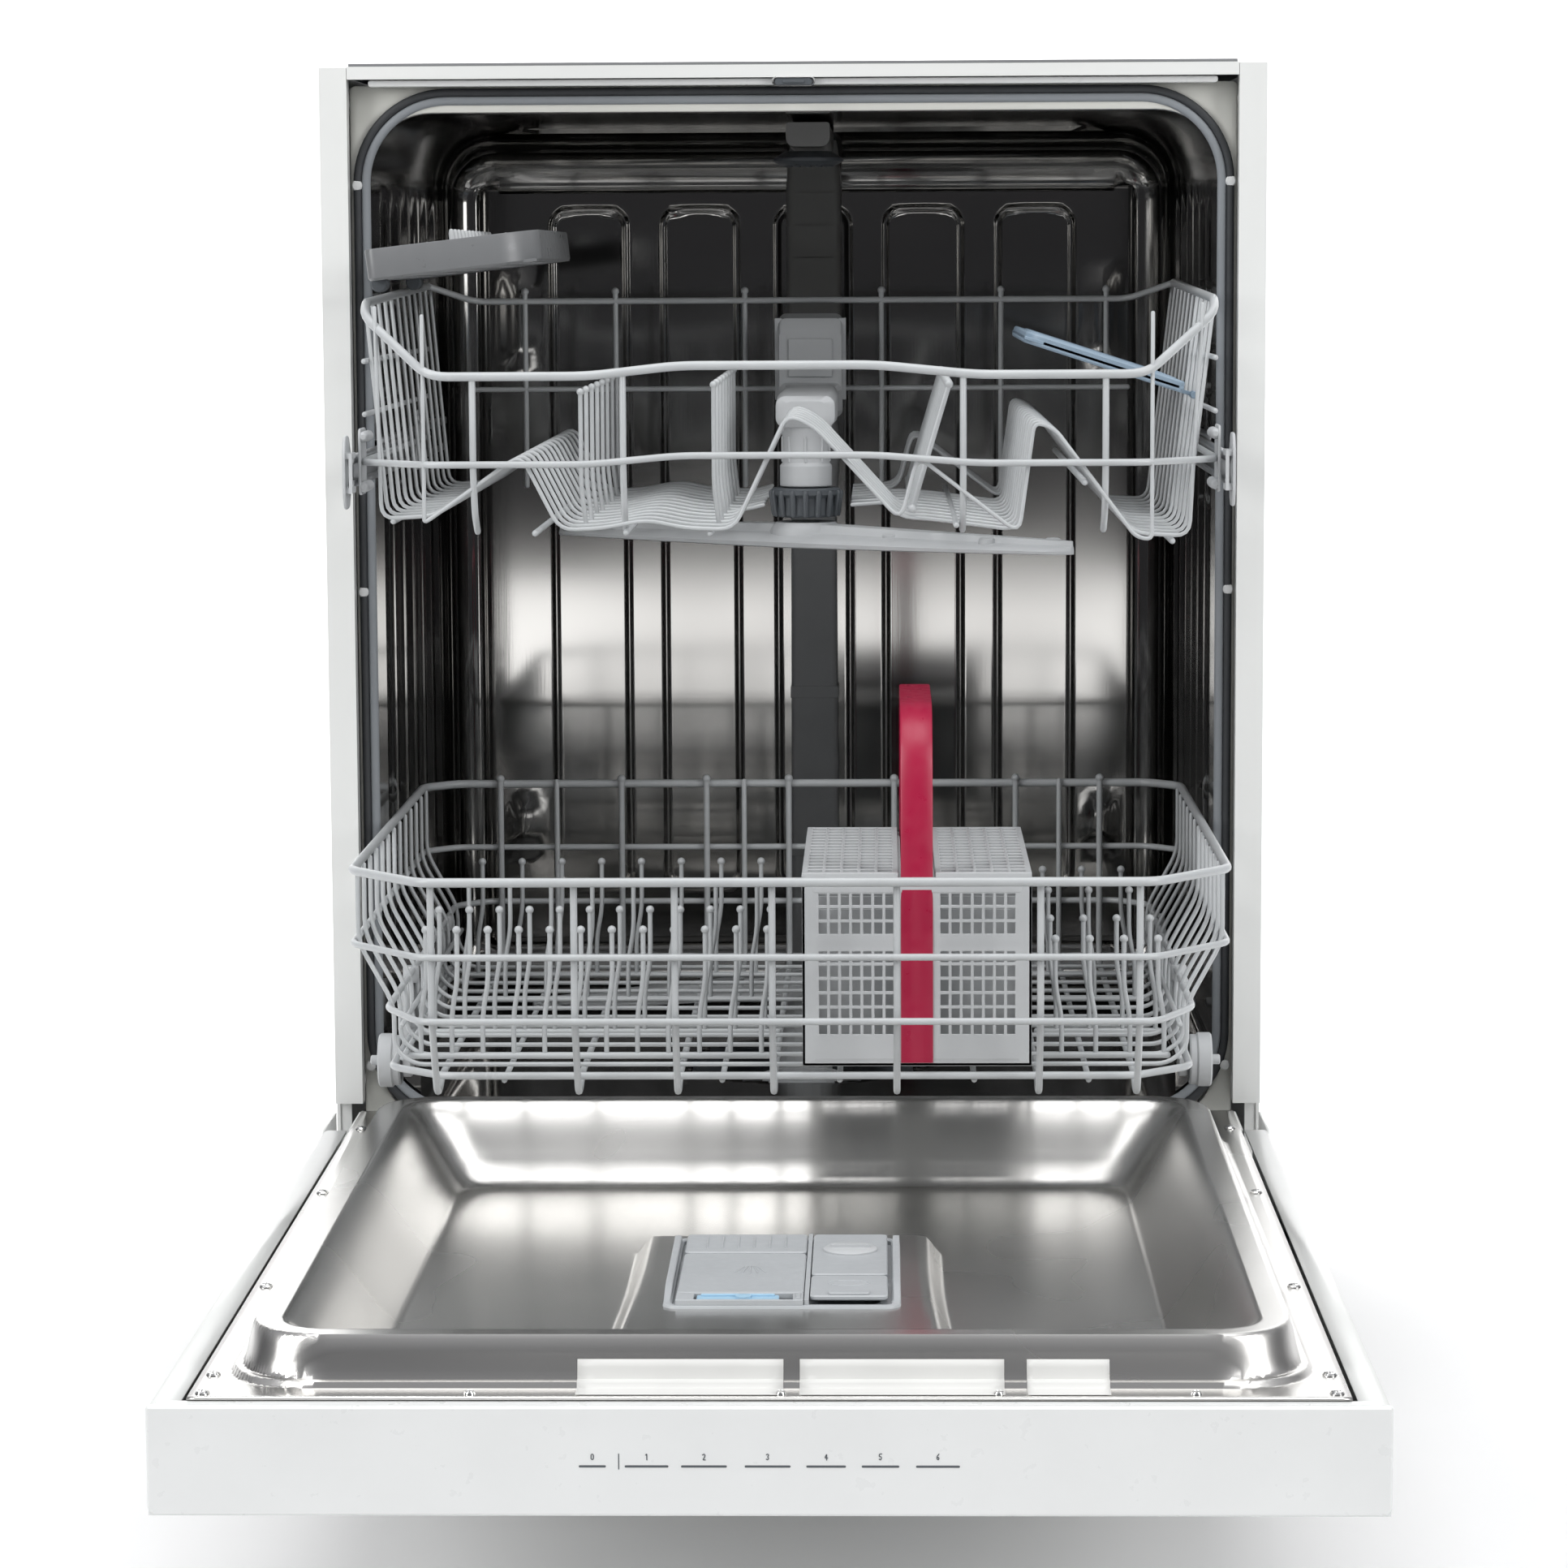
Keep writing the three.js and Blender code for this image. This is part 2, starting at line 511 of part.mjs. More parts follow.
const makeLowerRack = () => {
  const front = LOWER_FRONT;
  const back = front + LOWER_LENGTH;
  const half = WIRE / 2;
  const baseFront = front + 38;
  const wires = [
    rackHoop(LOWER_NARROW, 206, baseFront, back, 30, LOWER_BASE_Z),
    rackHoop(LOWER_NARROW, 216, front, back, 50, LOWER_RINGS[0]),
    rackHoop(LOWER_WIDE, 220, front, back, 55, LOWER_RINGS[1]),
    rackHoop(LOWER_WIDE, 220, front, back, 55, LOWER_RINGS[2], 7),
  ];
  [-180, -95, -10, 80, 170].forEach((x) => {
    wires.push(bar([x, front + half, LOWER_RINGS[0]], [x, front + half, LOWER_RINGS[2]]));
    wires.push(bar([x, front + half, LOWER_RINGS[0]], [x, baseFront + half, LOWER_BASE_Z]));
    wires.push(bar([x, back - half, LOWER_BASE_Z], [x, back - half, LOWER_RINGS[2]]));
    wires.push(bar([x, baseFront + 4, LOWER_BASE_Z], [x, back - 5, LOWER_BASE_Z]));
  });
  evenly(4, front + 95, back - 45).forEach((y) =>
    [-1, 1].forEach((side) => {
      const inner = side * (LOWER_NARROW - half);
      const outer = side * (LOWER_WIDE - half);
      wires.push(bar([inner, y, LOWER_BASE_Z], [inner, y, LOWER_RINGS[0]]));
      wires.push(bar([inner, y, LOWER_RINGS[0]], [outer, y, LOWER_RINGS[1]]));
      wires.push(bar([outer, y, LOWER_RINGS[1]], [outer, y, LOWER_RINGS[2]]));
    }),
  );
  evenly(4, front + 90, back - 60).forEach((y) => {
    const reach = LOWER_NARROW - half;
    const crossZ = LOWER_BASE_Z + CROSS_STEP;
    const besideBasket = y < BASKET.y1 + 10;
    const end = besideBasket ? BASKET.x0 - 6 : reach;
    wires.push(bar([-reach, y, crossZ], [end, y, crossZ], CROSS_WIRE));
    const columns = besideBasket ? [-215, -145, -45] : [-215, -145, -45, 45, 125, 205];
    columns.forEach((x) => wires.push(bar([x, y, crossZ], [x, y - 6, LOWER_BASE_Z + 74], TINE_WIRE)));
  });
  WHEEL_PLACES.forEach(([, y]) =>
    [-1, 1].forEach((side) => {
      const inner = across(side, LOWER_NARROW - WIRE, LOWER_NARROW + 3.8);
      wires.push(block(...inner, y - 9, y + 9, WHEEL_Z - 9, LOWER_RINGS[0]));
      wires.push(rodX(...across(side, LOWER_NARROW, WHEEL_FACES[1] + 0.5), y, WHEEL_Z, AXLE_RADIUS, 12));
    }),
  );
  addPiece("lower_rack_frame", "grey_wire", join(wires));

  WHEEL_PLACES.forEach(([place, y]) =>
    sides.forEach(([name, side]) => {
      const [x0, x1] = across(side, ...WHEEL_FACES);
      const tread = rodX(x0, x1, y, WHEEL_Z, WHEEL_RADIUS, 24);
      const bore = rodX(x0 - 1, x1 + 1, y, WHEEL_Z, AXLE_RADIUS + 0.4, 12);
      addPiece("lower_wheel_" + place + "_" + name, "grey_plastic", tread.subtract(bore));
    }),
  );
};

// ---------- cutlery basket ----------
const makeBasket = () => {
  const { x0, x1, y0, y1, z0, z1 } = BASKET;
  const outer = prismZ(roundedOutline(x0, x1, y0, y1, 10, 10, 3), z0, z1);
  const rooms = [
    [x0 + 2.5, BASKET_MIDDLE - BASKET_SPINE],
    [BASKET_MIDDLE + BASKET_SPINE, x1 - 2.5],
  ];
  const hollows = rooms.map(([a, b]) => block(a, b, y0 + 2.5, y1 - 2.5, z0 + 3, z1 + 1));
  const slots = rooms.flatMap(([a, b]) =>
    evenly(3, a + 12, b - 12).map((x) => block(x - 6, x + 6, y0 - 2, y1 + 2, z0 + 10, z1 - 22)),
  );
  const spineHalf = BASKET_SPINE - 2.5;
  const spine = block(BASKET_MIDDLE - spineHalf, BASKET_MIDDLE + spineHalf, y0 + 4, y1 - 4, z0 - 1, z1 - 4);
  addPiece("basket_body", "grey_plastic", cut(outer, [...hollows, ...slots, spine]));

  const centre = (y0 + y1) / 2;
  const arch = (half, top) => [
    point(centre - half, z1 + 1),
    point(centre - half + 26, top - 12),
    point(centre - half + 44, top),
    point(centre + half - 44, top),
    point(centre + half - 26, top - 12),
    point(centre + half, z1 + 1),
  ];
  const band = [BASKET_MIDDLE - HANDLE_HALF_WIDTH, BASKET_MIDDLE + HANDLE_HALF_WIDTH];
  const opening = prismX(arch(97, HANDLE_TOP_Z - 7), band[0] - 1, band[1] + 1);
  const loop = prismX(arch(104, HANDLE_TOP_Z), ...band).subtract(opening);
  const feet = [-1, 1].map((end) => {
    const [near, far] = across(end, 90, 104);
    return block(...band, centre + near, centre + far, z1 + GAP, z1 + 5);
  });
  addPiece("basket_handle", "crimson_plastic", join([loop, ...feet]));

  const lidZ = z1 + GAP;
  const lid = (a, b) => {
    const sheet = block(a, b, y0 + 2, y1 - 2, lidZ, lidZ + 3);
    const holes = evenly(4, y0 + 35, y1 - 35).flatMap((y) =>
      [-1, 1].map((column) => {
        const x = (a + b) / 2 + column * 14;
        return block(x - 8, x + 8, y - 14, y + 14, lidZ - 1, lidZ + 5);
      }),
    );
    return cut(sheet, holes);
  };
  addPiece("basket_lid_left", "grey_plastic", lid(x0, BASKET_MIDDLE - BASKET_SPINE));
  addPiece("basket_lid_right", "grey_plastic", lid(BASKET_MIDDLE + BASKET_SPINE, x1));
};

// ---------- upper rack ----------
const makeUpperRack = () => {
  const front = UPPER_FRONT;
  const back = front + UPPER_LENGTH;
  const half = WIRE / 2;
  sides.forEach(([name, side]) => {
    const channel = block(...across(side, 261.5, 266.7), -168, 216, 612, 632);
    const groove = block(...across(side, 260, 264.2), -164, 212, 616, 628);
    addPiece("slide_rail_" + name, "zinc_steel", channel.subtract(groove));
  });

  const wires = [
    rackHoop(236, 212, front + 8, back, 30, UPPER_BASE_Z),
    rackHoop(256, 216, front, back, 40, UPPER_MIDDLE_Z),
  ];
  const crossZ = UPPER_BASE_Z + CROSS_STEP;
  const wide = UPPER_WIDE;
  const frontHalf = UPPER_FRONT_HALF;
  wires.push(bar([-frontHalf, front + half, UPPER_FRONT_Z], [frontHalf, front + half, UPPER_FRONT_Z]));
  wires.push(bar([-wide + 28, back - half, UPPER_BACK_Z], [wide - 28, back - half, UPPER_BACK_Z]));
  [-1, 1].forEach((side) => {
    const shoulder = [side * wide, front + 46, UPPER_SIDE_Z - 10];
    const corner = [side * wide, back - 28, UPPER_SIDE_Z];
    wires.push(bar([side * frontHalf, front + half, UPPER_FRONT_Z], shoulder));
    wires.push(bar(shoulder, corner));
    wires.push(bar(corner, [side * (wide - 28), back - half, UPPER_BACK_Z]));
    evenly(4, front + 46, back - 28).forEach((y, i) => {
      const low = [side * (236 - half), y, UPPER_BASE_Z];
      const mid = [side * (256 - half), y, UPPER_MIDDLE_Z];
      const top = [side * wide, y, UPPER_SIDE_Z - 10 + (10 * i) / 3];
      wires.push(bar(low, mid), bar(mid, top));
    });
  });
  [-190, -95, 95, 190].forEach((x) => {
    wires.push(bar([x, front + half, UPPER_MIDDLE_Z], [x, front + half, UPPER_FRONT_Z]));
    wires.push(bar([x, front + 9, UPPER_BASE_Z], [x, front + half, UPPER_MIDDLE_Z]));
    wires.push(bar([x, front + 13, UPPER_BASE_Z], [x, back - 5, UPPER_BASE_Z]));
    wires.push(bar([x, back - half, UPPER_BASE_Z], [x, back - half, UPPER_BACK_Z]));
  });
  evenly(4, front + 60, back - 50).forEach((y) => {
    wires.push(bar([-233, y, crossZ], [-28, y, crossZ], CROSS_WIRE));
    wires.push(bar([42, y, crossZ], [233, y, crossZ], CROSS_WIRE));
    wires.push(bar([-145, y, crossZ], [-145, y, UPPER_BASE_Z + 62], TINE_WIRE));
  });
  [HUB_Y - 42, HUB_Y + 46].forEach((y) =>
    wires.push(bar([-95, y, crossZ], [95, y, crossZ], CROSS_WIRE)),
  );
  addPiece("upper_rack_frame", "grey_wire", join(wires));

  const pipe = block(HUB_X - 20, HUB_X + 20, HUB_Y - 20, back - 8, 640, 662);
  const column = rodZ(HUB_X, HUB_Y, 602, 645, 17, 20);
  const inlet = block(HUB_X - 22, HUB_X + 22, back - 30, back - 8, 640, 712);
  addPiece("feed_manifold", "grey_plastic", join([pipe, column, inlet]));
  const nut = rodZ(HUB_X, HUB_Y, 583, 602 - GAP, 24, 16);
  addPiece("spray_arm_nut", "dark_plastic", nut);
  const arm = sprayArm(HUB_X, HUB_Y, UPPER_ARM_Z, UPPER_ARM_Z + 14, UPPER_ARM_RADIUS, UPPER_ARM_TURN);
  addPiece("upper_spray_arm", "grey_plastic", arm);
};

// ---------- folding pieces of the upper rack ----------
// The tray and the shelf are drawn flat from their hinge line, then tilted about it.
const addTilted = (name, paint, solid, hinge) => {
  const piece = addPiece(name, paint, solid);
  piece.position.set(hinge.x, 0, hinge.z);
  piece.rotation.y = THREE.MathUtils.degToRad(hinge.tilt);
};

const makeFoldingPieces = () => {
  const [y0, y1] = FOLD_Y;
  const sheet = block(0, TRAY_WIDTH, y0, y1, 0, 3);
  const slots = evenly(5, y0 + 40, y1 - 40).flatMap((y) =>
    [32, 72].map((step) => block(step - 14, step + 14, y - 16, y + 16, -2, 6)),
  );
  const pegs = evenly(3, y0 + 65, y1 - 65).map((y) => block(50, 54, y - 2, y + 2, 1, 26));
  const lip = block(TRAY_WIDTH - 3, TRAY_WIDTH, y0, y1, 0, 12);
  addTilted("cup_tray", "dark_plastic", join([cut(sheet, slots), ...pegs, lip]), TRAY_HINGE);

  const shelf = block(-SHELF_WIDTH, 0, y0 + 20, y1 - 30, 0, 4);
  const windows = evenly(6, y0 + 46, y1 - 56).flatMap((y) =>
    evenly(3, 20 - SHELF_WIDTH, -22).map((x) => block(x - 13, x + 13, y - 15, y + 15, -2, 6)),
  );
  addTilted("cup_shelf", "blue_plastic", cut(shelf, windows), SHELF_HINGE);

  const base = UPPER_BASE_Z + 10;
  const tines = evenly(7, y0 - 20, y1 + 30).map((y) =>
    bar([TINE_X, y, base], [TINE_X + 22, y, base + 74], 4),
  );
  tines.push(bar([TINE_X, y0 - 24, base], [TINE_X, y1 + 34, base], 5));
  addPiece("folding_tines", "grey_wire", join(tines));
};

makeTub();
makeCabinet();
makeBase();
makeHingeBrackets();
makeTubFittings();
addPiece("lower_spray_arm", "grey_plastic", sprayArm(0, ARM_Y, ARM_Z, ARM_Z + 12, ARM_RADIUS, ARM_TURN));
makeDoor();
makeLowerRack();
makeBasket();
makeUpperRack();
makeFoldingPieces();

export default dishwasher;
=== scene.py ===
"""Built-in dishwasher, shown with its door open and both racks drawn out.

Lengths in this script are millimetres in the CAD frame (+Z up, -Y towards the user) until mesh data is
made; mesh_piece() turns them into metres. Places are read from the CAD nodes' boxes.
"""
import math

import bpy
import numpy as np
from mathutils import Matrix, Vector


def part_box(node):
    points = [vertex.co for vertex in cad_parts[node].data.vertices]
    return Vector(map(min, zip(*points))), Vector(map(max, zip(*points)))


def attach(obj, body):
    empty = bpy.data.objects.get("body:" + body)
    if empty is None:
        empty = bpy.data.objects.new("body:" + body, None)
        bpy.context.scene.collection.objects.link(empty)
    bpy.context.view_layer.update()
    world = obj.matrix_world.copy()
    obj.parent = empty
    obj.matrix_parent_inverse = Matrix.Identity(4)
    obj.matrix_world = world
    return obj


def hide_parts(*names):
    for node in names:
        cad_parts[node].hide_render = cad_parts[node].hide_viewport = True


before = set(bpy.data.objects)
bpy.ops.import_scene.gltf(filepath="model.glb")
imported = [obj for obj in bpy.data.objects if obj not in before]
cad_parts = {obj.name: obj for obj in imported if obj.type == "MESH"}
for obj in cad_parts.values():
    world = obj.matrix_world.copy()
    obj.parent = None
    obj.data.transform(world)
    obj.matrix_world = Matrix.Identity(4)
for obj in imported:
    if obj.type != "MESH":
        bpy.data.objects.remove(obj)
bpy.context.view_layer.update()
MM = 0.001


def box(node):
    """Lowest and highest corner of a CAD node, in millimetres."""
    low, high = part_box(node)
    return np.array(low) / MM, np.array(high) / MM


# ---------------------------------------------------------------- materials
def new_material(name, color, roughness, metallic=0.0):
    material = bpy.data.materials.new(name)
    material.use_nodes = True
    shader = material.node_tree.nodes["Principled BSDF"]
    shader.inputs["Base Color"].default_value = (*color, 1)
    shader.inputs["Roughness"].default_value = roughness
    shader.inputs["Metallic"].default_value = metallic
    return material, material.node_tree.nodes, material.node_tree.links, shader


def noise(nodes, links, scale, stretch=(1, 1, 1), detail=4.0):
    """Noise in object space, stretched along the axes by the given factors."""
    place = nodes.new("ShaderNodeTexCoord")
    mapping = nodes.new("ShaderNodeMapping")
    mapping.inputs["Scale"].default_value = stretch
    texture = nodes.new("ShaderNodeTexNoise")
    texture.inputs["Scale"].default_value = scale
    texture.inputs["Detail"].default_value = detail
    links.new(place.outputs["Object"], mapping.inputs["Vector"])
    links.new(mapping.outputs["Vector"], texture.inputs["Vector"])
    return texture.outputs["Fac"]


def spread(nodes, links, source, low, high):
    """Maps a 0..1 value to low..high."""
    ramp = nodes.new("ShaderNodeMapRange")
    ramp.inputs["From Min"].default_value = 0.3
    ramp.inputs["From Max"].default_value = 0.7
    ramp.inputs["To Min"].default_value = low
    ramp.inputs["To Max"].default_value = high
    links.new(source, ramp.inputs["Value"])
    return ramp.outputs["Result"]


def blend_colors(nodes, links, factor, first, second):
    mix = nodes.new("ShaderNodeMix")
    mix.data_type = "RGBA"
    mix.inputs["A"].default_value = (*first, 1)
    mix.inputs["B"].default_value = (*second, 1)
    links.new(factor, mix.inputs["Factor"])
    return mix.outputs["Result"]


def add_bump(nodes, links, shader, source, strength, distance):
    bump = nodes.new("ShaderNodeBump")
    bump.inputs["Strength"].default_value = strength
    bump.inputs["Distance"].default_value = distance
    links.new(source, bump.inputs["Height"])
    links.new(bump.outputs["Normal"], shader.inputs["Normal"])


def enamel(name, color, roughness=0.3):
    """Painted steel: a slight orange-peel ripple and faint tone variation."""
    material, nodes, links, shader = new_material(name, color, roughness)
    tone = spread(nodes, links, noise(nodes, links, 6), 0, 1)
    darker = tuple(c * 0.955 for c in color)
    links.new(blend_colors(nodes, links, tone, color, darker), shader.inputs["Base Color"])
    links.new(spread(nodes, links, noise(nodes, links, 60), roughness - 0.01, roughness + 0.03), shader.inputs["Roughness"])
    add_bump(nodes, links, shader, noise(nodes, links, 420), 0.035, 0.0003)
    shader.inputs["Coat Weight"].default_value = 0.25
    shader.inputs["Coat Roughness"].default_value = 0.15
    return material


def steel(name, color, rough_low, rough_high, stretch, grain=900, strength=0.05):
    """Sheet steel: fine drawn grain along one axis, with cloudy polish marks."""
    material, nodes, links, shader = new_material(name, color, rough_low, 1.0)
    clouds = spread(nodes, links, noise(nodes, links, 3.5, detail=2), rough_low, rough_high)
    links.new(clouds, shader.inputs["Roughness"])
    tone = spread(nodes, links, noise(nodes, links, 3, detail=2), 0, 1)
    darker = tuple(c * 0.88 for c in color)
    links.new(blend_colors(nodes, links, tone, color, darker), shader.inputs["Base Color"])
    add_bump(nodes, links, shader, noise(nodes, links, grain, stretch), strength, 0.0002)
    return material


def moulded(name, color, roughness=0.45, grain=700, strength=0.12, variation=0.93):
    """Moulded plastic: spark-eroded grain and a little tone variation."""
    material, nodes, links, shader = new_material(name, color, roughness)
    tone = spread(nodes, links, noise(nodes, links, 18), 0, 1)
    darker = tuple(c * variation for c in color)
    links.new(blend_colors(nodes, links, tone, color, darker), shader.inputs["Base Color"])
    links.new(spread(nodes, links, noise(nodes, links, 120), roughness - 0.06, roughness + 0.1), shader.inputs["Roughness"])
    add_bump(nodes, links, shader, noise(nodes, links, grain), strength, 0.0003)
    shader.inputs["Specular IOR Level"].default_value = 0.45
    return material


def coated_wire(name, color):
    """Nylon powder coat on wire: soft sheen with small lumps where it ran."""
    material, nodes, links, shader = new_material(name, color, 0.38)
    tone = spread(nodes, links, noise(nodes, links, 35), 0, 1)
    darker = tuple(c * 0.9 for c in color)
    links.new(blend_colors(nodes, links, tone, color, darker), shader.inputs["Base Color"])
    add_bump(nodes, links, shader, noise(nodes, links, 240), 0.25, 0.0005)
    shader.inputs["Coat Weight"].default_value = 0.3
    shader.inputs["Coat Roughness"].default_value = 0.25
    return material


WHITE = enamel("white_enamel_paint", (0.76, 0.77, 0.755))
WARM_WHITE = enamel("pale_flange_paint", (0.74, 0.74, 0.69), 0.35)
FASCIA_WHITE = moulded("white_fascia_plastic", (0.74, 0.75, 0.745), 0.32, strength=0.05, variation=0.97)
# Tub steel: base colour painted dark, far below the door liner's steel, as painted shade for the dim inside of the tub.
SHADED_TUB_STEEL = steel("tub_steel_painted_shade", (0.31, 0.305, 0.295), 0.05, 0.12, (1, 1, 0.02), strength=0.025)
LINER_STEEL = steel("liner_polished_steel", (0.70, 0.69, 0.67), 0.18, 0.32, (0.02, 1, 1), strength=0.03)
ZINC = steel("zinc_plated_steel", (0.56, 0.57, 0.58), 0.34, 0.55, (1, 1, 1), 120, 0.2)
CHROME = steel("bright_screw_steel", (0.75, 0.75, 0.74), 0.12, 0.22, (1, 1, 1), 300, 0.05)
RUBBER_DARK = moulded("dark_seal_rubber", (0.045, 0.048, 0.052), 0.6, 300, 0.25)
RUBBER_GREY = moulded("grey_seal_rubber", (0.28, 0.30, 0.32), 0.65, 300, 0.25)
WIRE_GREY = coated_wire("grey_coated_wire", (0.50, 0.52, 0.53))
LIGHT_GREY = moulded("light_grey_plastic", (0.50, 0.515, 0.525))
PALE_GREY = moulded("pale_grey_plastic", (0.44, 0.46, 0.475), 0.38)
EDGE_GREY = moulded("grey_edge_plastic", (0.20, 0.205, 0.21), 0.5)
TRAY_GREY = moulded("satin_tray_plastic", (0.17, 0.175, 0.18), 0.32, strength=0.06)
MID_GREY = moulded("mid_grey_plastic", (0.25, 0.25, 0.245))
DARK_GREY = moulded("dark_grey_plastic", (0.085, 0.095, 0.105), 0.42)
BLACK = moulded("black_moulded_plastic", (0.018, 0.019, 0.021), 0.5)
BLUE_GREY = moulded("blue_grey_plastic", (0.24, 0.32, 0.40), 0.42)
LIGHT_BLUE = moulded("light_blue_plastic", (0.36, 0.55, 0.70), 0.35)
CRIMSON = moulded("crimson_plastic", (0.37, 0.010, 0.048), 0.33, strength=0.05)
CAST = moulded("cast_block", (0.10, 0.105, 0.11), 0.75, 90, 0.6)
PRINT = moulded("grey_print", (0.09, 0.10, 0.11), 0.6, strength=0.02)
PAPER = moulded("blank_label_film", (0.72, 0.72, 0.70), 0.45, strength=0.04)


# ---------------------------------------------------------------- mesh building
class Build:
    """Gathers vertices (millimetres) and faces for one piece."""

    def __init__(self):
        self.verts = []
        self.faces = []

    def add(self, verts, faces):
        start = len(self.verts)
        self.verts.extend([tuple(v) for v in verts])
        self.faces.extend([tuple(start + i for i in face) for face in faces])
        return self


def mesh_piece(name, build, material, body, replaces=(), smooth=35, bevel=0.0, segments=2):
    mesh = bpy.data.meshes.new(name)
    mesh.from_pydata([tuple(c * MM for c in v) for v in build.verts], [], build.faces)
    mesh.validate()
    mesh.materials.append(material)
    piece = bpy.data.objects.new(name, mesh)
    bpy.context.scene.collection.objects.link(piece)
    if bevel:
        rounding = piece.modifiers.new("rounding", "BEVEL")
        rounding.width = bevel * MM
        rounding.segments = segments
        rounding.limit_method = "ANGLE"
        rounding.angle_limit = math.radians(40)
    mesh.polygons.foreach_set("use_smooth", [True] * len(mesh.polygons))
    mesh.set_sharp_from_angle(angle=math.radians(smooth))
    if bevel:
        weights = piece.modifiers.new("weights", "WEIGHTED_NORMAL")
        weights.keep_sharp = True
    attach(piece, body)
    if replaces:
        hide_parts(*replaces)
    return piece


def use_cad(node, material):
    """Keeps a CAD node and gives it a finished material."""
    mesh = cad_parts[node].data
    mesh.materials.clear()
    mesh.materials.append(material)
    mesh.polygons.foreach_set("use_smooth", [True] * len(mesh.polygons))
    mesh.set_sharp_from_angle(angle=math.radians(30))


def fillet(points, radius, steps=4, closed=False):
    """Rounds the corners of a polyline."""
    pts = [np.array(p, float) for p in points]
    count = len(pts)
    out = []
    for i, p in enumerate(pts):
        if not closed and i in (0, count - 1):
            out.append(p)
            continue
        before = pts[i - 1] - p
        after = pts[(i + 1) % count] - p
        reach = min(radius, np.linalg.norm(before) * 0.45, np.linalg.norm(after) * 0.45)
        a = p + before / np.linalg.norm(before) * reach
        b = p + after / np.linalg.norm(after) * reach
        for s in np.linspace(0, 1, steps + 1):
            out.append((1 - s) ** 2 * a + 2 * s * (1 - s) * p + s**2 * b)
    return out


def tube(build, points, radius, sides=8, closed=False, ball=0.0):
    """A round wire along points. ball adds a ball-shaped tip of that radius at the end."""
    path = np.array(points, float)
    keep = [0] + [i for i in range(1, len(path)) if np.linalg.norm(path[i] - path[i - 1]) > 1e-4]
    path = path[keep]
    count = len(path)
    if closed:
        tangents = np.roll(path, -1, 0) - np.roll(path, 1, 0)
    else:
        tangents = np.gradient(path, axis=0)
    tangents /= np.linalg.norm(tangents, axis=1)[:, None]
    first = np.array([0, 0, 1.0]) if abs(tangents[0][2]) < 0.9 else np.array([1.0, 0, 0])
    normal = first - tangents[0] * first.dot(tangents[0])
    normal /= np.linalg.norm(normal)
    rings = []
    for i in range(count):
        normal = normal - tangents[i] * normal.dot(tangents[i])
        normal /= np.linalg.norm(normal)
        side = np.cross(tangents[i], normal)
        rings.append((path[i], normal.copy(), side, radius, tangents[i]))
    if not closed:
        rings = cap_rings(rings, radius, ball)
    verts = []
    for centre, up, side, size, _ in rings:
        for k in range(sides):
            angle = 2 * math.pi * k / sides
            verts.append(centre + size * (math.cos(angle) * up + math.sin(angle) * side))
    total = len(rings)
    faces = []
    for i in range(total if closed else total - 1):
        j = (i + 1) % total
        for k in range(sides):
            m = (k + 1) % sides
            faces.append((i * sides + k, i * sides + m, j * sides + m, j * sides + k))
    if not closed:
        faces.append(tuple(range(sides - 1, -1, -1)))
        faces.append(tuple((total - 1) * sides + k for k in range(sides)))
    build.add(verts, faces)


def cap_rings(rings, radius, ball):
    """Rounds both ends of a wire, and swells the far one where it has a ball tip."""
    centre, up, side, _, along = rings[0]
    start = [
        (centre - along * radius * 0.9, up, side, radius * 0.45, along),
        (centre - along * radius * 0.55, up, side, radius * 0.85, along),
    ]
    centre, up, side, _, along = rings[-1]
    if not ball:
        end = [
            (centre + along * radius * 0.55, up, side, radius * 0.85, along),
            (centre + along * radius * 0.9, up, side, radius * 0.45, along),
        ]
        return start + rings + end
    end = []
    for angle in np.linspace(0.9, 2.9, 6):
        offset = ball * (1 - math.cos(angle)) - ball * (1 - math.cos(0.9))
        end.append((centre + along * offset, up, side, ball * math.sin(angle), along))
    return start + rings + end


def lathe(build, centre, axis, profile, steps=32):
    """Turns (radius, along) pairs round an axis through centre."""
    axis = np.array(axis, float)
    first = np.array([0, 0, 1.0]) if abs(axis[2]) < 0.9 else np.array([1.0, 0, 0])
    up = first - axis * first.dot(axis)
    up /= np.linalg.norm(up)
    side = np.cross(axis, up)
    centre = np.array(centre, float)
    verts = []
    for radius, along in profile:
        for k in range(steps):
            angle = 2 * math.pi * k / steps
            verts.append(centre + axis * along + max(radius, 0.01) * (math.cos(angle) * up + math.sin(angle) * side))
    faces = []
    for i in range(len(profile) - 1):
        for k in range(steps):
            m = (k + 1) % steps
            faces.append((i * steps + k, i * steps + m, (i + 1) * steps + m, (i + 1) * steps + k))
    build.add(verts, faces)


def block(build, low, high):
    x0, y0, z0 = low
    x1, y1, z1 = high
    verts = [(x, y, z) for z in (z0, z1) for y in (y0, y1) for x in (x0, x1)]
    faces = [(0, 2, 3, 1), (4, 5, 7, 6), (0, 1, 5, 4), (2, 6, 7, 3), (0, 4, 6, 2), (1, 3, 7, 5)]
    build.add(verts, faces)


def rounded(x0, x1, y0, y1, radius, steps=6):
    """Points of a rounded rectangle; radius is one number or one for each corner from low x, low y."""
    radii = radius if isinstance(radius, (list, tuple)) else [radius] * 4
    corners = [(x0, y0, 1, 1, 2), (x1, y0, -1, 1, 3), (x1, y1, -1, -1, 0), (x0, y1, 1, -1, 1)]
    points = []
    for (x, y, sx, sy, quarter), r in zip(corners, radii):
        for i in range(steps + 1):
            angle = (quarter + i / steps) * math.pi / 2
            points.append((x + sx * r + r * math.cos(angle), y + sy * r + r * math.sin(angle)))
    return points


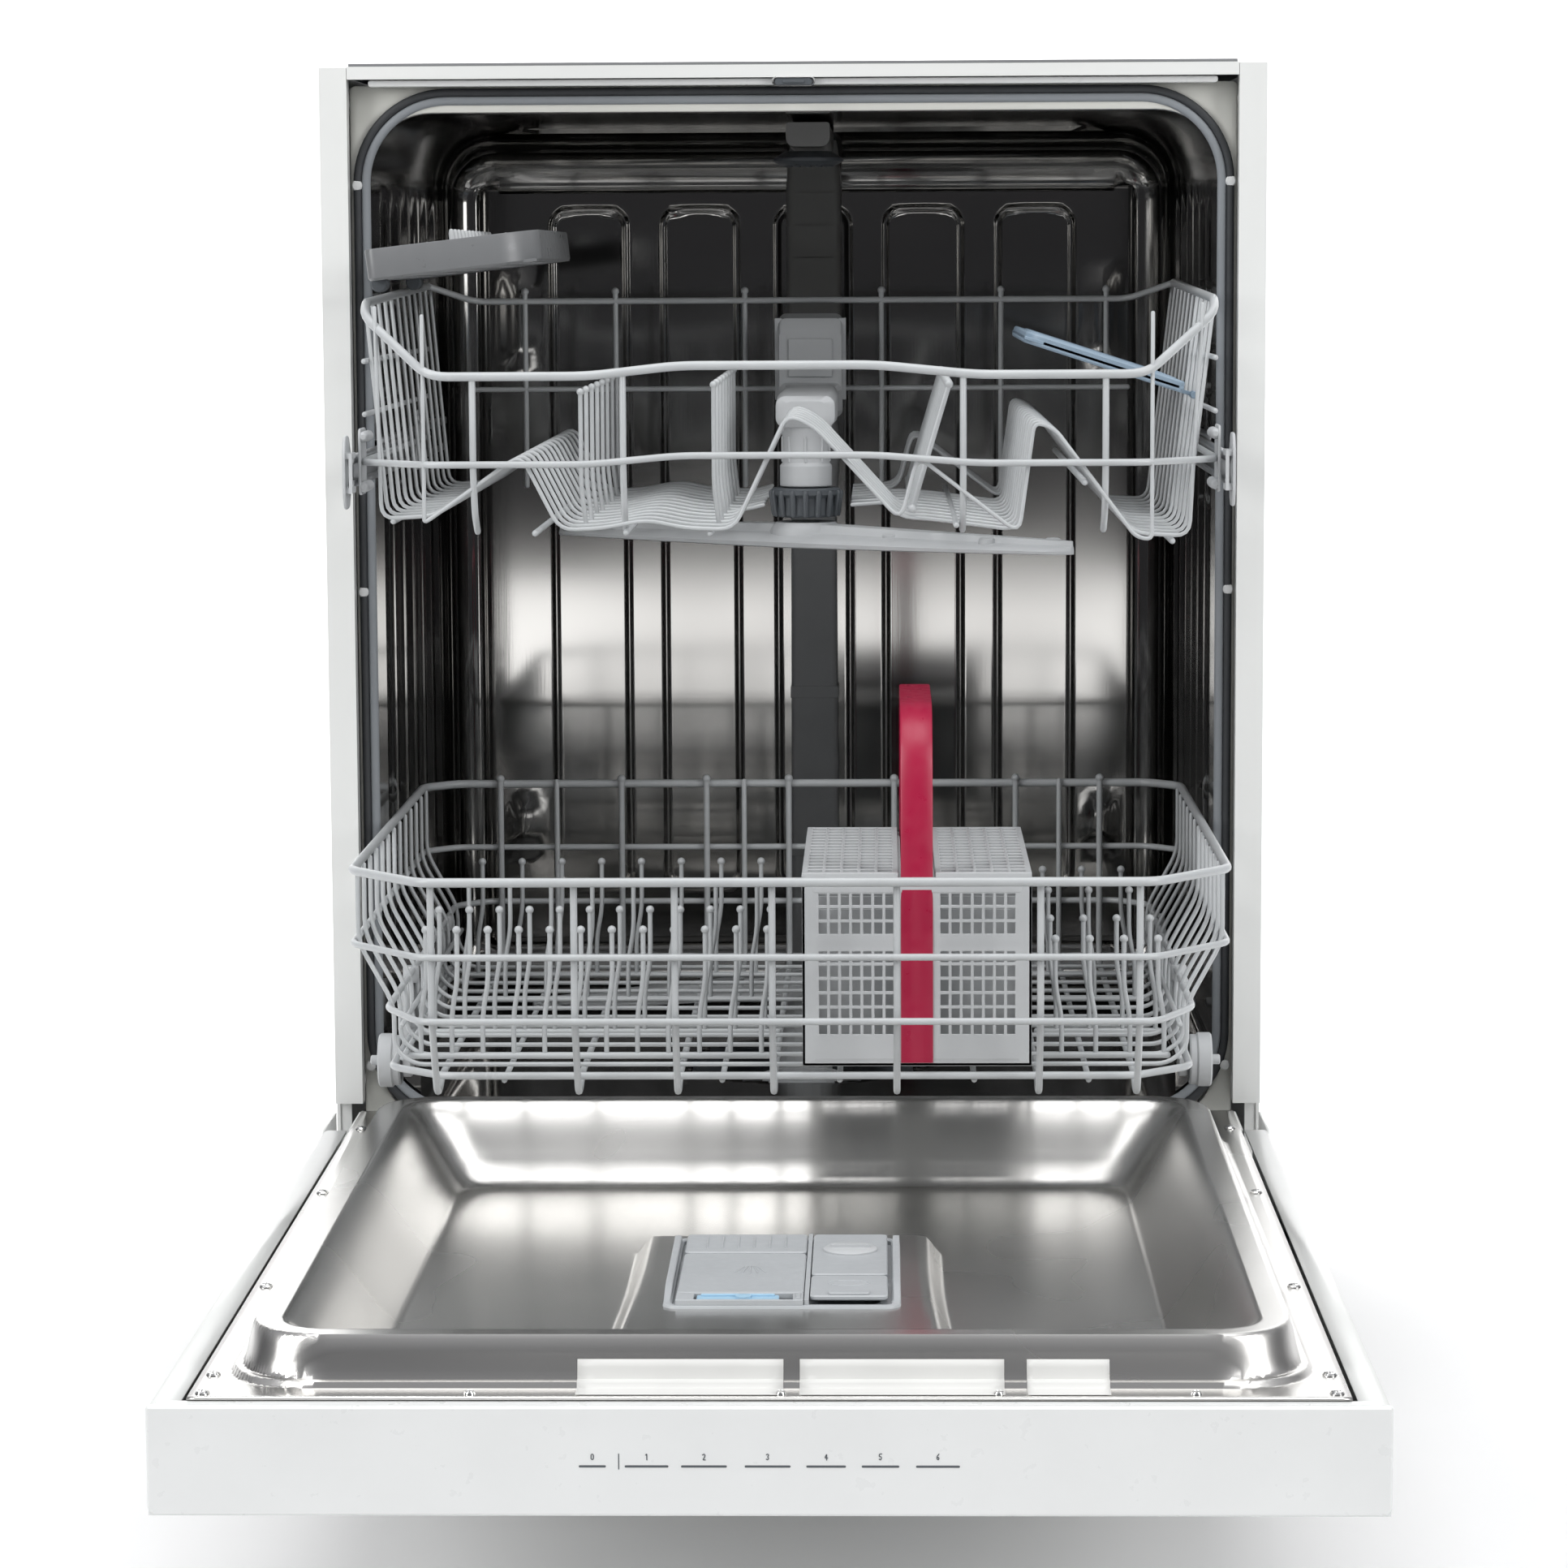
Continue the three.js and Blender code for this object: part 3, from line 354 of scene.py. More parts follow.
def prism(build, outline, low, high, axis="z", bevel=0.0):
    """Solid of an outline between two heights; axis names the direction it stands along."""
    place = {
        "z": lambda a, b, h: (a, b, h),
        "y": lambda a, b, h: (a, h, b),
        "x": lambda a, b, h: (h, a, b),
    }[axis]
    flip = axis == "y"
    count = len(outline)
    centre = np.mean(outline, axis=0)
    levels = [(low, bevel), (low + bevel, 0), (high - bevel, 0), (high, bevel)] if bevel else [(low, 0), (high, 0)]
    verts = []
    for height, inset in levels:
        for a, b in inset_outline(outline, inset):
            verts.append(place(a, b, height))
    faces = []
    for level in range(len(levels) - 1):
        for k in range(count):
            m = (k + 1) % count
            faces.append((level * count + k, level * count + m, (level + 1) * count + m, (level + 1) * count + k))
    top = (len(levels) - 1) * count
    faces.append(tuple(range(count - 1, -1, -1)))
    faces.append(tuple(top + k for k in range(count)))
    if flip:
        faces = [tuple(reversed(face)) for face in faces]
    build.add(verts, faces)
    return centre


def inset_outline(outline, inset):
    """Moves each point of a counter-clockwise outline inwards along its normal."""
    if not inset:
        return outline
    pts = np.array(outline, float)
    along = np.roll(pts, -1, 0) - np.roll(pts, 1, 0)
    along /= np.maximum(np.linalg.norm(along, axis=1)[:, None], 1e-6)
    normal = np.stack([-along[:, 1], along[:, 0]], 1)
    return pts + normal * inset


def plate_with_windows(build, xs, ys, solid, low, high, axis="z"):
    """A plate cut into cells by xs and ys; solid(i, j) says which cells are filled."""
    place = {
        "z": lambda a, b, h: (a, b, h),
        "y": lambda a, b, h: (a, h, b),
        "x": lambda a, b, h: (h, a, b),
    }[axis]
    index = {}
    verts = []

    def corner(i, j, top):
        key = (i, j, top)
        if key not in index:
            index[key] = len(verts)
            verts.append(place(xs[i], ys[j], high if top else low))
        return index[key]

    faces = []
    filled = lambda i, j: 0 <= i < len(xs) - 1 and 0 <= j < len(ys) - 1 and solid(i, j)
    for i in range(len(xs) - 1):
        for j in range(len(ys) - 1):
            if not filled(i, j):
                continue
            faces.append([corner(i, j, 1), corner(i + 1, j, 1), corner(i + 1, j + 1, 1), corner(i, j + 1, 1)])
            faces.append([corner(i, j + 1, 0), corner(i + 1, j + 1, 0), corner(i + 1, j, 0), corner(i, j, 0)])
            edges = [((i, j), (i + 1, j), (i, j - 1)), ((i + 1, j), (i + 1, j + 1), (i + 1, j))]
            edges += [((i + 1, j + 1), (i, j + 1), (i, j + 1)), ((i, j + 1), (i, j), (i - 1, j))]
            for a, b, beyond in edges:
                if not filled(*beyond):
                    faces.append([corner(*a, 0), corner(*b, 0), corner(*b, 1), corner(*a, 1)])
    if axis == "y":
        faces = [list(reversed(face)) for face in faces]
    build.add(verts, faces)


def smoothstep(low, high, value):
    t = np.clip((value - low) / (high - low), 0, 1)
    return t * t * (3 - 2 * t)


def round_box_distance(a, b, centre_a, centre_b, half_a, half_b, radius):
    """Signed distance to a rounded rectangle, negative inside."""
    qa = np.abs(a - centre_a) - (half_a - radius)
    qb = np.abs(b - centre_b) - (half_b - radius)
    outside = np.hypot(np.maximum(qa, 0), np.maximum(qb, 0))
    return outside + np.minimum(np.maximum(qa, qb), 0) - radius


def soft_box_distance(a, b, centre_a, centre_b, half_a, half_b, radius):
    """Like round_box_distance, with the inside corners smooth as well."""
    blend = radius / 0.85
    da = np.abs(a - centre_a) - half_a
    db = np.abs(b - centre_b) - half_b
    overlap = np.maximum(blend - np.abs(da - db), 0)
    return np.maximum(da, db) + overlap**2 / (4 * blend)


def grid_lines(low, high, step, dense=(), reach=10, fine=1.2):
    """Grid positions from low to high, finer near each dense value."""
    lines = list(np.arange(low, high, step)) + [high]
    for value in dense:
        lines += list(np.arange(max(low, value - reach), min(high, value + reach), fine))
    lines = sorted(lines)
    kept = [lines[0]]
    for value in lines[1:]:
        if value - kept[-1] > fine * 0.7:
            kept.append(value)
    kept[-1] = high
    return np.array(kept)


def sheet_grid(build, points, thickness_vector=None):
    """Faces of a surface given as a grid of points, [row][column][xyz]; the sheet has one skin."""
    rows, columns = points.shape[:2]
    faces = []
    for i in range(rows - 1):
        for j in range(columns - 1):
            a = i * columns + j
            faces.append((a, a + 1, a + columns + 1, a + columns))
    build.add(points.reshape(-1, 3), faces)


def loft(build, rings, caps=False):
    """Skins a list of closed rings, each a list of points."""
    count = len(rings[0])
    verts = [p for ring in rings for p in ring]
    faces = []
    for i in range(len(rings) - 1):
        for k in range(count):
            m = (k + 1) % count
            faces.append((i * count + k, i * count + m, (i + 1) * count + m, (i + 1) * count + k))
    if caps:
        faces.append(tuple(range(count - 1, -1, -1)))
        faces.append(tuple((len(rings) - 1) * count + k for k in range(count)))
    build.add(verts, faces)


def upright_ring(outline, inset, y):
    """A closed (x, z) outline moved inwards and placed at depth y."""
    return [(p[0], y, p[1]) for p in inset_outline(outline, inset)]


def solidify(piece, thickness, offset=-1.0):
    sheet = piece.modifiers.new("sheet", "SOLIDIFY")
    sheet.thickness = thickness * MM
    sheet.offset = offset
    return piece


# ---------------------------------------------------------------- places shared by several pieces
FRONT = box("top_crossbar")[0][1]
TUB_LOW, TUB_HIGH = box("tub")
WALL = 9.0
TUB_HALF = TUB_HIGH[0] - WALL
TUB_FLOOR = TUB_LOW[2] + 20
TUB_CEILING = TUB_HIGH[2] - 16
TUB_FRONT = TUB_LOW[1]
TUB_BACK = TUB_HIGH[1] - 2
TUB_CORNER = 42.0


# ---------------------------------------------------------------- tub
def tub_walls():
    """The wrapped sheet of floor, sides and ceiling, curving into the back with a wide cove."""
    outline = rounded(-TUB_HALF, TUB_HALF, TUB_FLOOR, TUB_CEILING, TUB_CORNER, 10)
    dense = []
    for a, b in zip(outline, outline[1:] + outline[:1]):
        length = math.hypot(b[0] - a[0], b[1] - a[1])
        parts = max(1, round(length / 9))
        dense += [(a[0] + (b[0] - a[0]) * i / parts, a[1] + (b[1] - a[1]) * i / parts) for i in range(parts)]
    pts = np.array(dense)
    along = np.roll(pts, -1, 0) - np.roll(pts, 1, 0)
    along /= np.linalg.norm(along, axis=1)[:, None]
    normal = np.stack([-along[:, 1], along[:, 0]], 1)
    cove = 27 + 17 * np.abs(normal[:, 1])
    straight_end = TUB_BACK - 46
    rows = []
    for y in grid_lines(TUB_FRONT + 1, straight_end, 6):
        push = wall_press(pts, normal, y)
        ring = pts - normal * push[:, None]
        rows.append([(x, y, z) for x, z in ring])
    for turn in np.linspace(0, math.pi / 2, 12):
        inset = cove * (1 - math.cos(turn))
        depth = TUB_BACK - cove + cove * math.sin(turn)
        ring = pts + normal * inset[:, None]
        rows.append([(ring[k][0], depth[k], ring[k][1]) for k in range(len(pts))])
    build = Build()
    loft(build, rows)
    drop_sump_faces(build)
    piece = mesh_piece("tub_wrap_sheet", build, SHADED_TUB_STEEL, "cabinet", ["tub"], smooth=50)
    return solidify(piece, 0.8, 1.0)


def wall_press(pts, normal, y):
    """How far each wall point is pressed outwards at depth y: tall ribs on the sides, a panel in the ceiling."""
    side = np.abs(normal[:, 0]) > 0.95
    height = smoothstep(286, 300, pts[:, 1]) * (1 - smoothstep(774, 790, pts[:, 1]))
    start = TUB_FRONT + 62
    phase = np.abs(((y - start) % 62) - 31)
    rib = (1 - smoothstep(13, 18, np.array(phase))) * (start < y < start + 6 * 62)
    top = normal[:, 1] < -0.95
    panel = smoothstep(TUB_FRONT + 40, TUB_FRONT + 50, np.array(y)) * (1 - smoothstep(205, 218, np.abs(pts[:, 0])))
    return np.where(side, 3.2 * height * rib, 0) + np.where(top, 3.5 * panel, 0)


def drop_sump_faces(build):
    """Opens the floor over the sump."""
    low, high = box("sump")
    centre = (low[:2] + high[:2]) / 2
    radius = (box("filter_screen")[1][0]) + 1
    verts = np.array(build.verts)
    kept = []
    for face in build.faces:
        middle = verts[list(face)].mean(0)
        on_floor = middle[2] < TUB_FLOOR + 3
        if on_floor and math.hypot(middle[0] - centre[0], middle[1] - centre[1]) < radius + 5:
            continue
        kept.append(face)
    build.faces = kept


def tub_back():
    """The rear panel with five tall pressed frames and small oval pads."""
    xs = grid_lines(-TUB_HALF + 26, TUB_HALF - 26, 9, [-190, -135, -107, -52, -22, 32, 59, 115, 143, 198], 6, 0.8)
    zs = grid_lines(TUB_FLOOR + 40, TUB_CEILING - 40, 9, [275, 786], 14, 0.9)
    gx, gz = np.meshgrid(xs, zs)
    depth = np.zeros_like(gx)
    for left, right in [(-190, -135), (-107, -52), (-22, 32), (59, 115), (143, 198)]:
        distance = round_box_distance(gx, gz, (left + right) / 2, 530, (right - left) / 2, 256, 13)
        depth -= 1.5 * np.exp(-((distance / 1.7) ** 2))
    for x, z, half in [(-216, 704, 31), (220, 704, 31), (-216, 322, 17), (220, 322, 17)]:
        distance = round_box_distance(gx, gz, x, z, 6.5, half, 6)
        depth -= 3.0 * (1 - smoothstep(-2.5, 2.5, distance))
    points = np.stack([gx, TUB_BACK + 0.2 + depth, gz], -1)
    build = Build()
    sheet_grid(build, points)
    piece = mesh_piece("tub_back_panel", build, SHADED_TUB_STEEL, "cabinet", [], smooth=60)
    return solidify(piece, 0.8, 1.0)


def tub_flange():
    """Flat frame round the mouth of the tub, with a rolled inner edge."""
    outer = rounded(TUB_LOW[0], TUB_HIGH[0], TUB_LOW[2], TUB_HIGH[2], 3, 12)
    inner = rounded(-TUB_HALF, TUB_HALF, TUB_FLOOR, TUB_CEILING, TUB_CORNER, 12)
    rings = [
        upright_ring(outer, 0, TUB_FRONT + 10),
        upright_ring(outer, 0, TUB_FRONT + 0.6),
        upright_ring(outer, 0.8, TUB_FRONT),
        upright_ring(inner, -1.6, TUB_FRONT),
        upright_ring(inner, -0.3, TUB_FRONT + 0.5),
        upright_ring(inner, 0, TUB_FRONT + 2),
    ]
    build = Build()
    loft(build, rings)
    piece = mesh_piece("tub_mouth_flange", build, WARM_WHITE, "cabinet", [], smooth=40)
    return solidify(piece, 0.7, 1.0)


def tub_ledges():
    """Stepped runners for the lower rack's wheels at both sides of the floor."""
    ledge_z = TUB_LOW[2] + 61
    inner = TUB_HALF - 26
    start, end = TUB_FRONT + 4, TUB_BACK - 12
    for name, side in (("left", -1), ("right", 1)):
        corners = [(side * inner, TUB_FLOOR - 0.5), (side * inner, ledge_z), (side * (TUB_HALF + 0.5), ledge_z)]
        corners += [(side * (TUB_HALF + 0.5), ledge_z + 14)]
        path = fillet([(x, z) for x, z in corners], 7, 6)
        rows = [[(p[0], y, p[1]) for p in path] for y in np.linspace(start, end, 24)]
        build = Build()
        sheet_grid(build, np.array(rows))
        mouth = [(p[0], start, p[1]) for p in path] + [(side * (TUB_HALF + 0.5), start, TUB_FLOOR - 0.5)]
        build.add(mouth, [tuple(range(len(mouth)))])
        for x in np.linspace(start + 40, end - 40, 7):
            lathe(build, (side * (inner + 13), x, ledge_z - 0.4), (0, 0, 1), [(0, 1.3), (4, 1.1), (6.5, 0)], 20)
        mesh_piece(f"tub_ledge_{name}", build, SHADED_TUB_STEEL, "cabinet", [], smooth=40)


def sump_mouth():
    """Funnel of the sump round the filter screen and cup, which stay as CAD nodes."""
    low, high = box("sump")
    centre = ((low[0] + high[0]) / 2, (low[1] + high[1]) / 2, 0)
    rim = box("filter_screen")[1][0]
    floor = TUB_FLOOR
    build = Build()
    profile = [(rim + 12, floor + 0.6), (rim + 7, floor + 0.4), (rim + 3.5, floor - 2), (rim + 1.5, floor - 6)]
    profile += [(rim + 0.8, high[2] - 1), (rim - 4, high[2] - 8), (rim - 10, low[2] + 8), (18, low[2] + 2)]
    profile += [(0, low[2] + 2)]
    lathe(build, centre, (0, 0, 1), profile, 72)
    mesh_piece("sump_funnel", build, DARK_GREY, "cabinet", [])


def gasket():
    outline_low, outline_high = box("tub_gasket")
    outline = rounded(outline_low[0], outline_high[0], outline_low[2], outline_high[2], 60, 16)
    back = outline_high[1]
    front = outline_low[1]
    dark = Build()
    rings = [(1.2, back), (0.2, back - 1), (0.4, front + 1.6), (2.2, front + 0.3), (4.2, front + 0.6)]
    rings += [(5.2, front + 2.2), (5.4, back)]
    loft(dark, [upright_ring(outline, inset, y) for inset, y in rings])
    mesh_piece("door_seal_outer_bulb", dark, RUBBER_DARK, "cabinet", ["tub_gasket"], smooth=60)
    grey = Build()
    rings = [(5.5, back), (5.5, front + 2.6), (6.6, front + 1.7), (9.4, front + 2.3), (10.6, front + 3.6), (10.9, back)]
    loft(grey, [upright_ring(outline, inset, y) for inset, y in rings])
    mesh_piece("door_seal_inner_lip", grey, RUBBER_GREY, "cabinet", [], smooth=60)


# ---------------------------------------------------------------- cabinet
def cabinet_front():
    """Front strips, striker, flange buttons, side panel returns and the worktop edge strip."""
    low, high = box("top_trim_strip")
    build = Build()
    prism(build, rounded(low[0], high[0], low[2], high[2], 1.6, 4), low[1], high[1], "y", 0.5)
    mesh_piece("mouth_trim_strip", build, FASCIA_WHITE, "cabinet", ["top_trim_strip"])

    low, high = box("latch_striker")
    middle = (low[2] + high[2]) / 2
    centre = (low[0] + high[0]) / 2
    bezel = Build()
    outer = rounded(low[0] - 1.5, high[0] + 1.5, middle - 2.8, middle + 3.4, 2.8, 8)
    inner = rounded(low[0], high[0], middle - 2.3, middle + 2.3, 2.2, 8)
    front = low[1]
    rings = [(outer, 0, front + 3), (outer, 0, front + 0.8), (outer, 0.7, front), (inner, -0.3, front), (inner, 0, front + 1.5)]
    loft(bezel, [upright_ring(shape, inset, y) for shape, inset, y in rings])
    mesh_piece("striker_bezel", bezel, CHROME, "cabinet", [])
    pill = Build()
    prism(pill, inner, front + 0.5, high[1], "y", 0.4)
    tongue = rounded(centre - 7, centre + 7, middle - 0.9, middle + 0.9, 0.8, 4)
    prism(pill, tongue, front - 0.2, front + 1, "y", 0.3)
    mesh_piece("striker_body", pill, DARK_GREY, "cabinet", ["latch_striker"])

    flange = box("side_panel_left")
    build = Build()
    for side in (-1, 1):
        for z in (flange[0][2] + 110, (TUB_FLOOR + TUB_CEILING) / 2 + 22, flange[1][2] - 74):
            centre = (side * (TUB_HIGH[0] - 3.6), FRONT + 16, z)
            lathe(build, centre, (0, -1, 0), [(3.4, -4), (3.4, 0.6), (2.6, 1.6), (0, 1.9)], 20)
    mesh_piece("flange_plugs", build, FASCIA_WHITE, "cabinet", [])

    returns = Build()
    for side in (-1, 1):
        xs = sorted((side * 289.6, side * 298.4))
        block(returns, (xs[0], FRONT + 10.4, flange[0][2] + 1), (xs[1], FRONT + 12, flange[0][2] + 89))
        xs = sorted((side * 281.6, side * 296.7))
        block(returns, (xs[0], FRONT + 12.3, flange[1][2] - 1.6), (xs[1], FRONT + 60, flange[1][2]))
    mesh_piece("side_panel_returns", returns, WHITE, "cabinet", [], bevel=0.4)

    low, high = box("top_crossbar")
    edge = Build()
    section = rounded(low[1] + 0.4, low[1] + 16, high[2] - 0.5, high[2] + 1.9, 0.3, 3)
    prism(edge, section, low[0] + 1, high[0] - 1, "x", 0.3)
    mesh_piece("worktop_edge_strip", edge, EDGE_GREY, "cabinet", [])


def pan_screw(build, centre, axis, radius=4.0):
    """A dome-headed screw with a cross recess."""
    lathe(build, centre, axis, [(radius, -0.5), (radius, 0.5), (radius * 0.8, 1.4), (radius * 0.35, 1.8), (0, 1.85)], 20)
    axis = np.array(axis, float)
    first = np.array([0, 0, 1.0]) if abs(axis[2]) < 0.9 else np.array([1.0, 0, 0])
    side = np.cross(axis, first)
    middle = np.array(centre) + axis * 1.75
    for direction in (first, side):
        tube(build, [middle - direction * radius * 0.45, middle + direction * radius * 0.45], 0.35, 6)


def cabinet_shell_details():
    """Screws on the cabinet's back and top, and stiffening beads on its back."""
    screws = Build()
    low, high = box("back_sheet")
    for x in (low[0] + 9, high[0] - 9):
        for z in np.linspace(low[2] + 30, high[2] - 20, 5):
            pan_screw(screws, (x, high[1], z), (0, 1, 0))
    low, high = box("top_crossbar")
    for x in (-240, -120, 120, 240):
        pan_screw(screws, (x, low[1] + 40, high[2]), (0, 0, 1))
    mesh_piece("cabinet_screws", screws, CHROME, "cabinet", [])

    beads = Build()
    low, high = box("back_sheet")
    for x in (-190, -95, 0, 95, 190):
        ring = rounded(x - 22, x + 22, low[2] + 60, high[2] - 60, 20, 10)
        rings = [(0, high[1] - 0.2), (2.5, high[1] + 2.2), (6, high[1] + 2.8), (9.5, high[1] + 2.2), (12, high[1] - 0.2)]
        loft(beads, [[(p[0], y, p[1]) for p in inset_outline(ring, inset)] for inset, y in rings])
    mesh_piece("back_sheet_beads", beads, ZINC, "cabinet", [], smooth=60)


def duct():
    """The feed duct on the back wall: a wide dark upper housing over a slimmer lower channel."""
    low, high = box("water_duct")
    centre = (low[0] + high[0]) / 2
    back = high[1]
    upper = Build()
    levels = [(690, 17, 12), (694, 20, 16), (720, 20.5, 17), (800, 20.5, 17), (822, 19, 17), (836, 17, 17)]
    rings = []
    for z, half, deep in levels:
        ring = rounded(centre - half, centre + half, back - deep - 9, back - 0.3, [5, 5, 1, 1], 5)
        rings.append([(p[0], p[1], z) for p in ring])
    loft(upper, rings, caps=True)
    pipe = []
    for y in (back - 20, back - 60, back - 140, low[1] + 4, low[1]):
        ring = rounded(centre - 15, centre + 15, high[2] - 17, high[2] - 0.6, [6, 6, 2, 2], 5)
        pipe.append([(p[0], y, p[1]) for p in ring])
    loft(upper, [list(reversed(ring)) for ring in pipe], caps=True)
    for z in (748, 772, 796):
        block(upper, (centre - 14, back - 27.2, z), (centre + 14, back - 26, z + 1.6))
    piece = mesh_piece("feed_duct_upper", upper, MID_GREY, "cabinet", ["water_duct"])
    lower = Build()
    levels = [(196, 20, 14), (202, 24, 16), (214, 24, 16), (250, 18, 15), (560, 17, 15), (610, 20, 15)]
    levels += [(650, 15, 14), (689, 15, 13)]
    rings = []
    for z, half, deep in levels:
        ring = rounded(centre - 1 - half, centre - 1 + half, back - deep, back - 0.3, [4, 4, 1, 1], 5)
        rings.append([(p[0], p[1], z) for p in ring])
    loft(lower, rings, caps=True)
    for z in (300, 420, 540):
        block(lower, (centre - 19, back - 16.2, z), (centre + 17, back - 14, z + 9))
    mesh_piece("feed_duct_lower", lower, LIGHT_GREY, "cabinet", [], bevel=0.5)
    return piece


def ceiling_head():
    low, high = box("ceiling_spray_head")
    centre = ((low[0] + high[0]) / 2, (low[1] + high[1]) / 2, 0)
    radius = (high[0] - low[0]) / 2
    build = Build()
    profile = [(0, low[2] + 0.6), (6, low[2] + 0.6), (8, low[2]), (radius - 5, low[2]), (radius, low[2] + 3)]
    profile += [(radius, low[2] + 5), (radius - 8, high[2]), (0, high[2])]
    lathe(build, centre, (0, 0, -1), [(r, -z) for r, z in profile], 48)
    for k in range(12):
        angle = k * math.pi / 6
        place = (centre[0] + 15 * math.cos(angle), centre[1] + 15 * math.sin(angle), low[2])
        lathe(build, place, (0, 0, -1), [(2.4, -1), (2.2, 0.6), (1.1, 0.7), (1.0, -0.6), (0, -0.6)], 12)
    mesh_piece("ceiling_rose", build, DARK_GREY, "cabinet", ["ceiling_spray_head"])


# ---------------------------------------------------------------- spray arms
def spray_arm(name, node, body, turn, length, seed_side):
    """A flat blade arm, swept and tapered, with a hollow spine, nozzles and a hub."""
    low, high = box(node)
    hub = box("lower_arm_hub") if node == "lower_spray_arm" else box("spray_arm_nut")
    centre = ((hub[0] + hub[1]) / 2)[:2]
    bottom, top = low[2], high[2]
    thick = top - bottom
    outline_half = []
    build = Build()
    stations = np.linspace(-length, length, 61)
    rings = []
    for s in stations:
        t = abs(s) / length
        half = 16 + 13 * math.cos(t * math.pi / 2) ** 0.8 - 5 * t
        half *= math.sqrt(max(0.02, 1 - max(0, (t - 0.93) / 0.07) ** 2))
        bend = 5 * math.copysign(t * t, s)
        rise = thick * (0.95 - 0.42 * t)
        lift = bottom + 1.2 * t
        section = []
        for c, h in [(-1, 0.25), (-0.98, 0.05), (-0.9, 0), (0.9, 0), (0.98, 0.05), (1, 0.25), (0.82, 0.5)]:
            section.append((c, h))
        section += [(0.45, 0.62), (0.3, 0.98), (-0.3, 0.98), (-0.45, 0.62), (-0.82, 0.5)]
        ring = [(s, bend + c * half, lift + h * rise) for c, h in section]
        rings.append(ring)
    loft(build, rings, caps=True)
    for i, s in enumerate(np.linspace(-0.9, 0.9, 11)):
        if abs(s) < 0.12:
            continue
        t = abs(s)
        side = 1 if (i + seed_side) % 2 else -1
        place = (s * length, 5 * math.copysign(t * t, s) + side * 9, bottom + thick * 0.52)
        lathe(build, place, (0, 0, 1), [(5.5, -2), (5, 1.4), (3.4, 2.2), (2.0, 2.2), (1.8, 0.5), (0, 0.5)], 16)
    profile = [(24, bottom - 0), (24.5, bottom + 2), (23, bottom + thick * 0.7), (19, top - 0.2), (9, top - 0.2), (8, top - 3), (0, top - 3)]
    lathe(build, (0, 0, 0), (0, 0, 1), profile, 40)
    angle = math.radians(turn)
    spin = np.array([[math.cos(angle), -math.sin(angle)], [math.sin(angle), math.cos(angle)]])
    build.verts = [(*(spin @ np.array(v[:2]) + centre), v[2]) for v in build.verts]
    mesh_piece(name, build, LIGHT_GREY, body, [node], bevel=0.5, smooth=40)


# ---------------------------------------------------------------- door
LINER_LOW, LINER_HIGH = box("door_liner")
LINER_SHEET = 204.8
PAN_FLOOR = 181.0
DISPENSER_LOW, DISPENSER_HIGH = box("dispenser_body")


def liner_height(x, y):
    """Height of the door liner's inner face: base sheet, stepped raised rim, pan and dispenser plateau."""
    rim_top = LINER_HIGH[2]
    near, far = LINER_LOW[1] + 19, FRONT - 84
    middle, half_y = (near + far) / 2, (far - near) / 2
    outer = soft_box_distance(x, y, 0, middle, 266, half_y, 40)
    inner = soft_box_distance(x, y, 0, middle, 241, half_y - 22, 24)
    height = LINER_SHEET + 3.2 * (1 - smoothstep(-1.4, 0.6, outer))
    height = height + (rim_top - LINER_SHEET - 3.2) * (1 - smoothstep(-10.5, -4.6, outer)) ** 0.8
    drop = np.clip((-inner) / 36.0, 0, 1)
    slope = smoothstep(0, 1, drop) * 0.35 + drop * 0.65
    depth = rim_top - PAN_FLOOR
    height = np.where(inner < 0, rim_top - depth * slope, height)
    return np.maximum(height, plateau_height(x, y, near))


def plateau_height(x, y, near):
    """A trapezoid raised round the dispenser, wider towards the user."""
    centre = (DISPENSER_LOW[0] + DISPENSER_HIGH[0]) / 2
    top = DISPENSER_LOW[1] + (DISPENSER_HIGH[1] - DISPENSER_LOW[1]) + 12
    spread_y = np.clip((top - y) / (top - near), 0, 1)
    half = 76 + 9 * smoothstep(0.15, 0.95, spread_y)
    across = half - np.abs(x - centre)
    along = top - y
    edge = np.minimum(across, along)
    level = DISPENSER_HIGH[2] - 1.6
    rise = smoothstep(-14, 0, edge) * smoothstep(near + 30, near + 40, y)
    return PAN_FLOOR - 1 + (level - PAN_FLOOR + 1) * rise


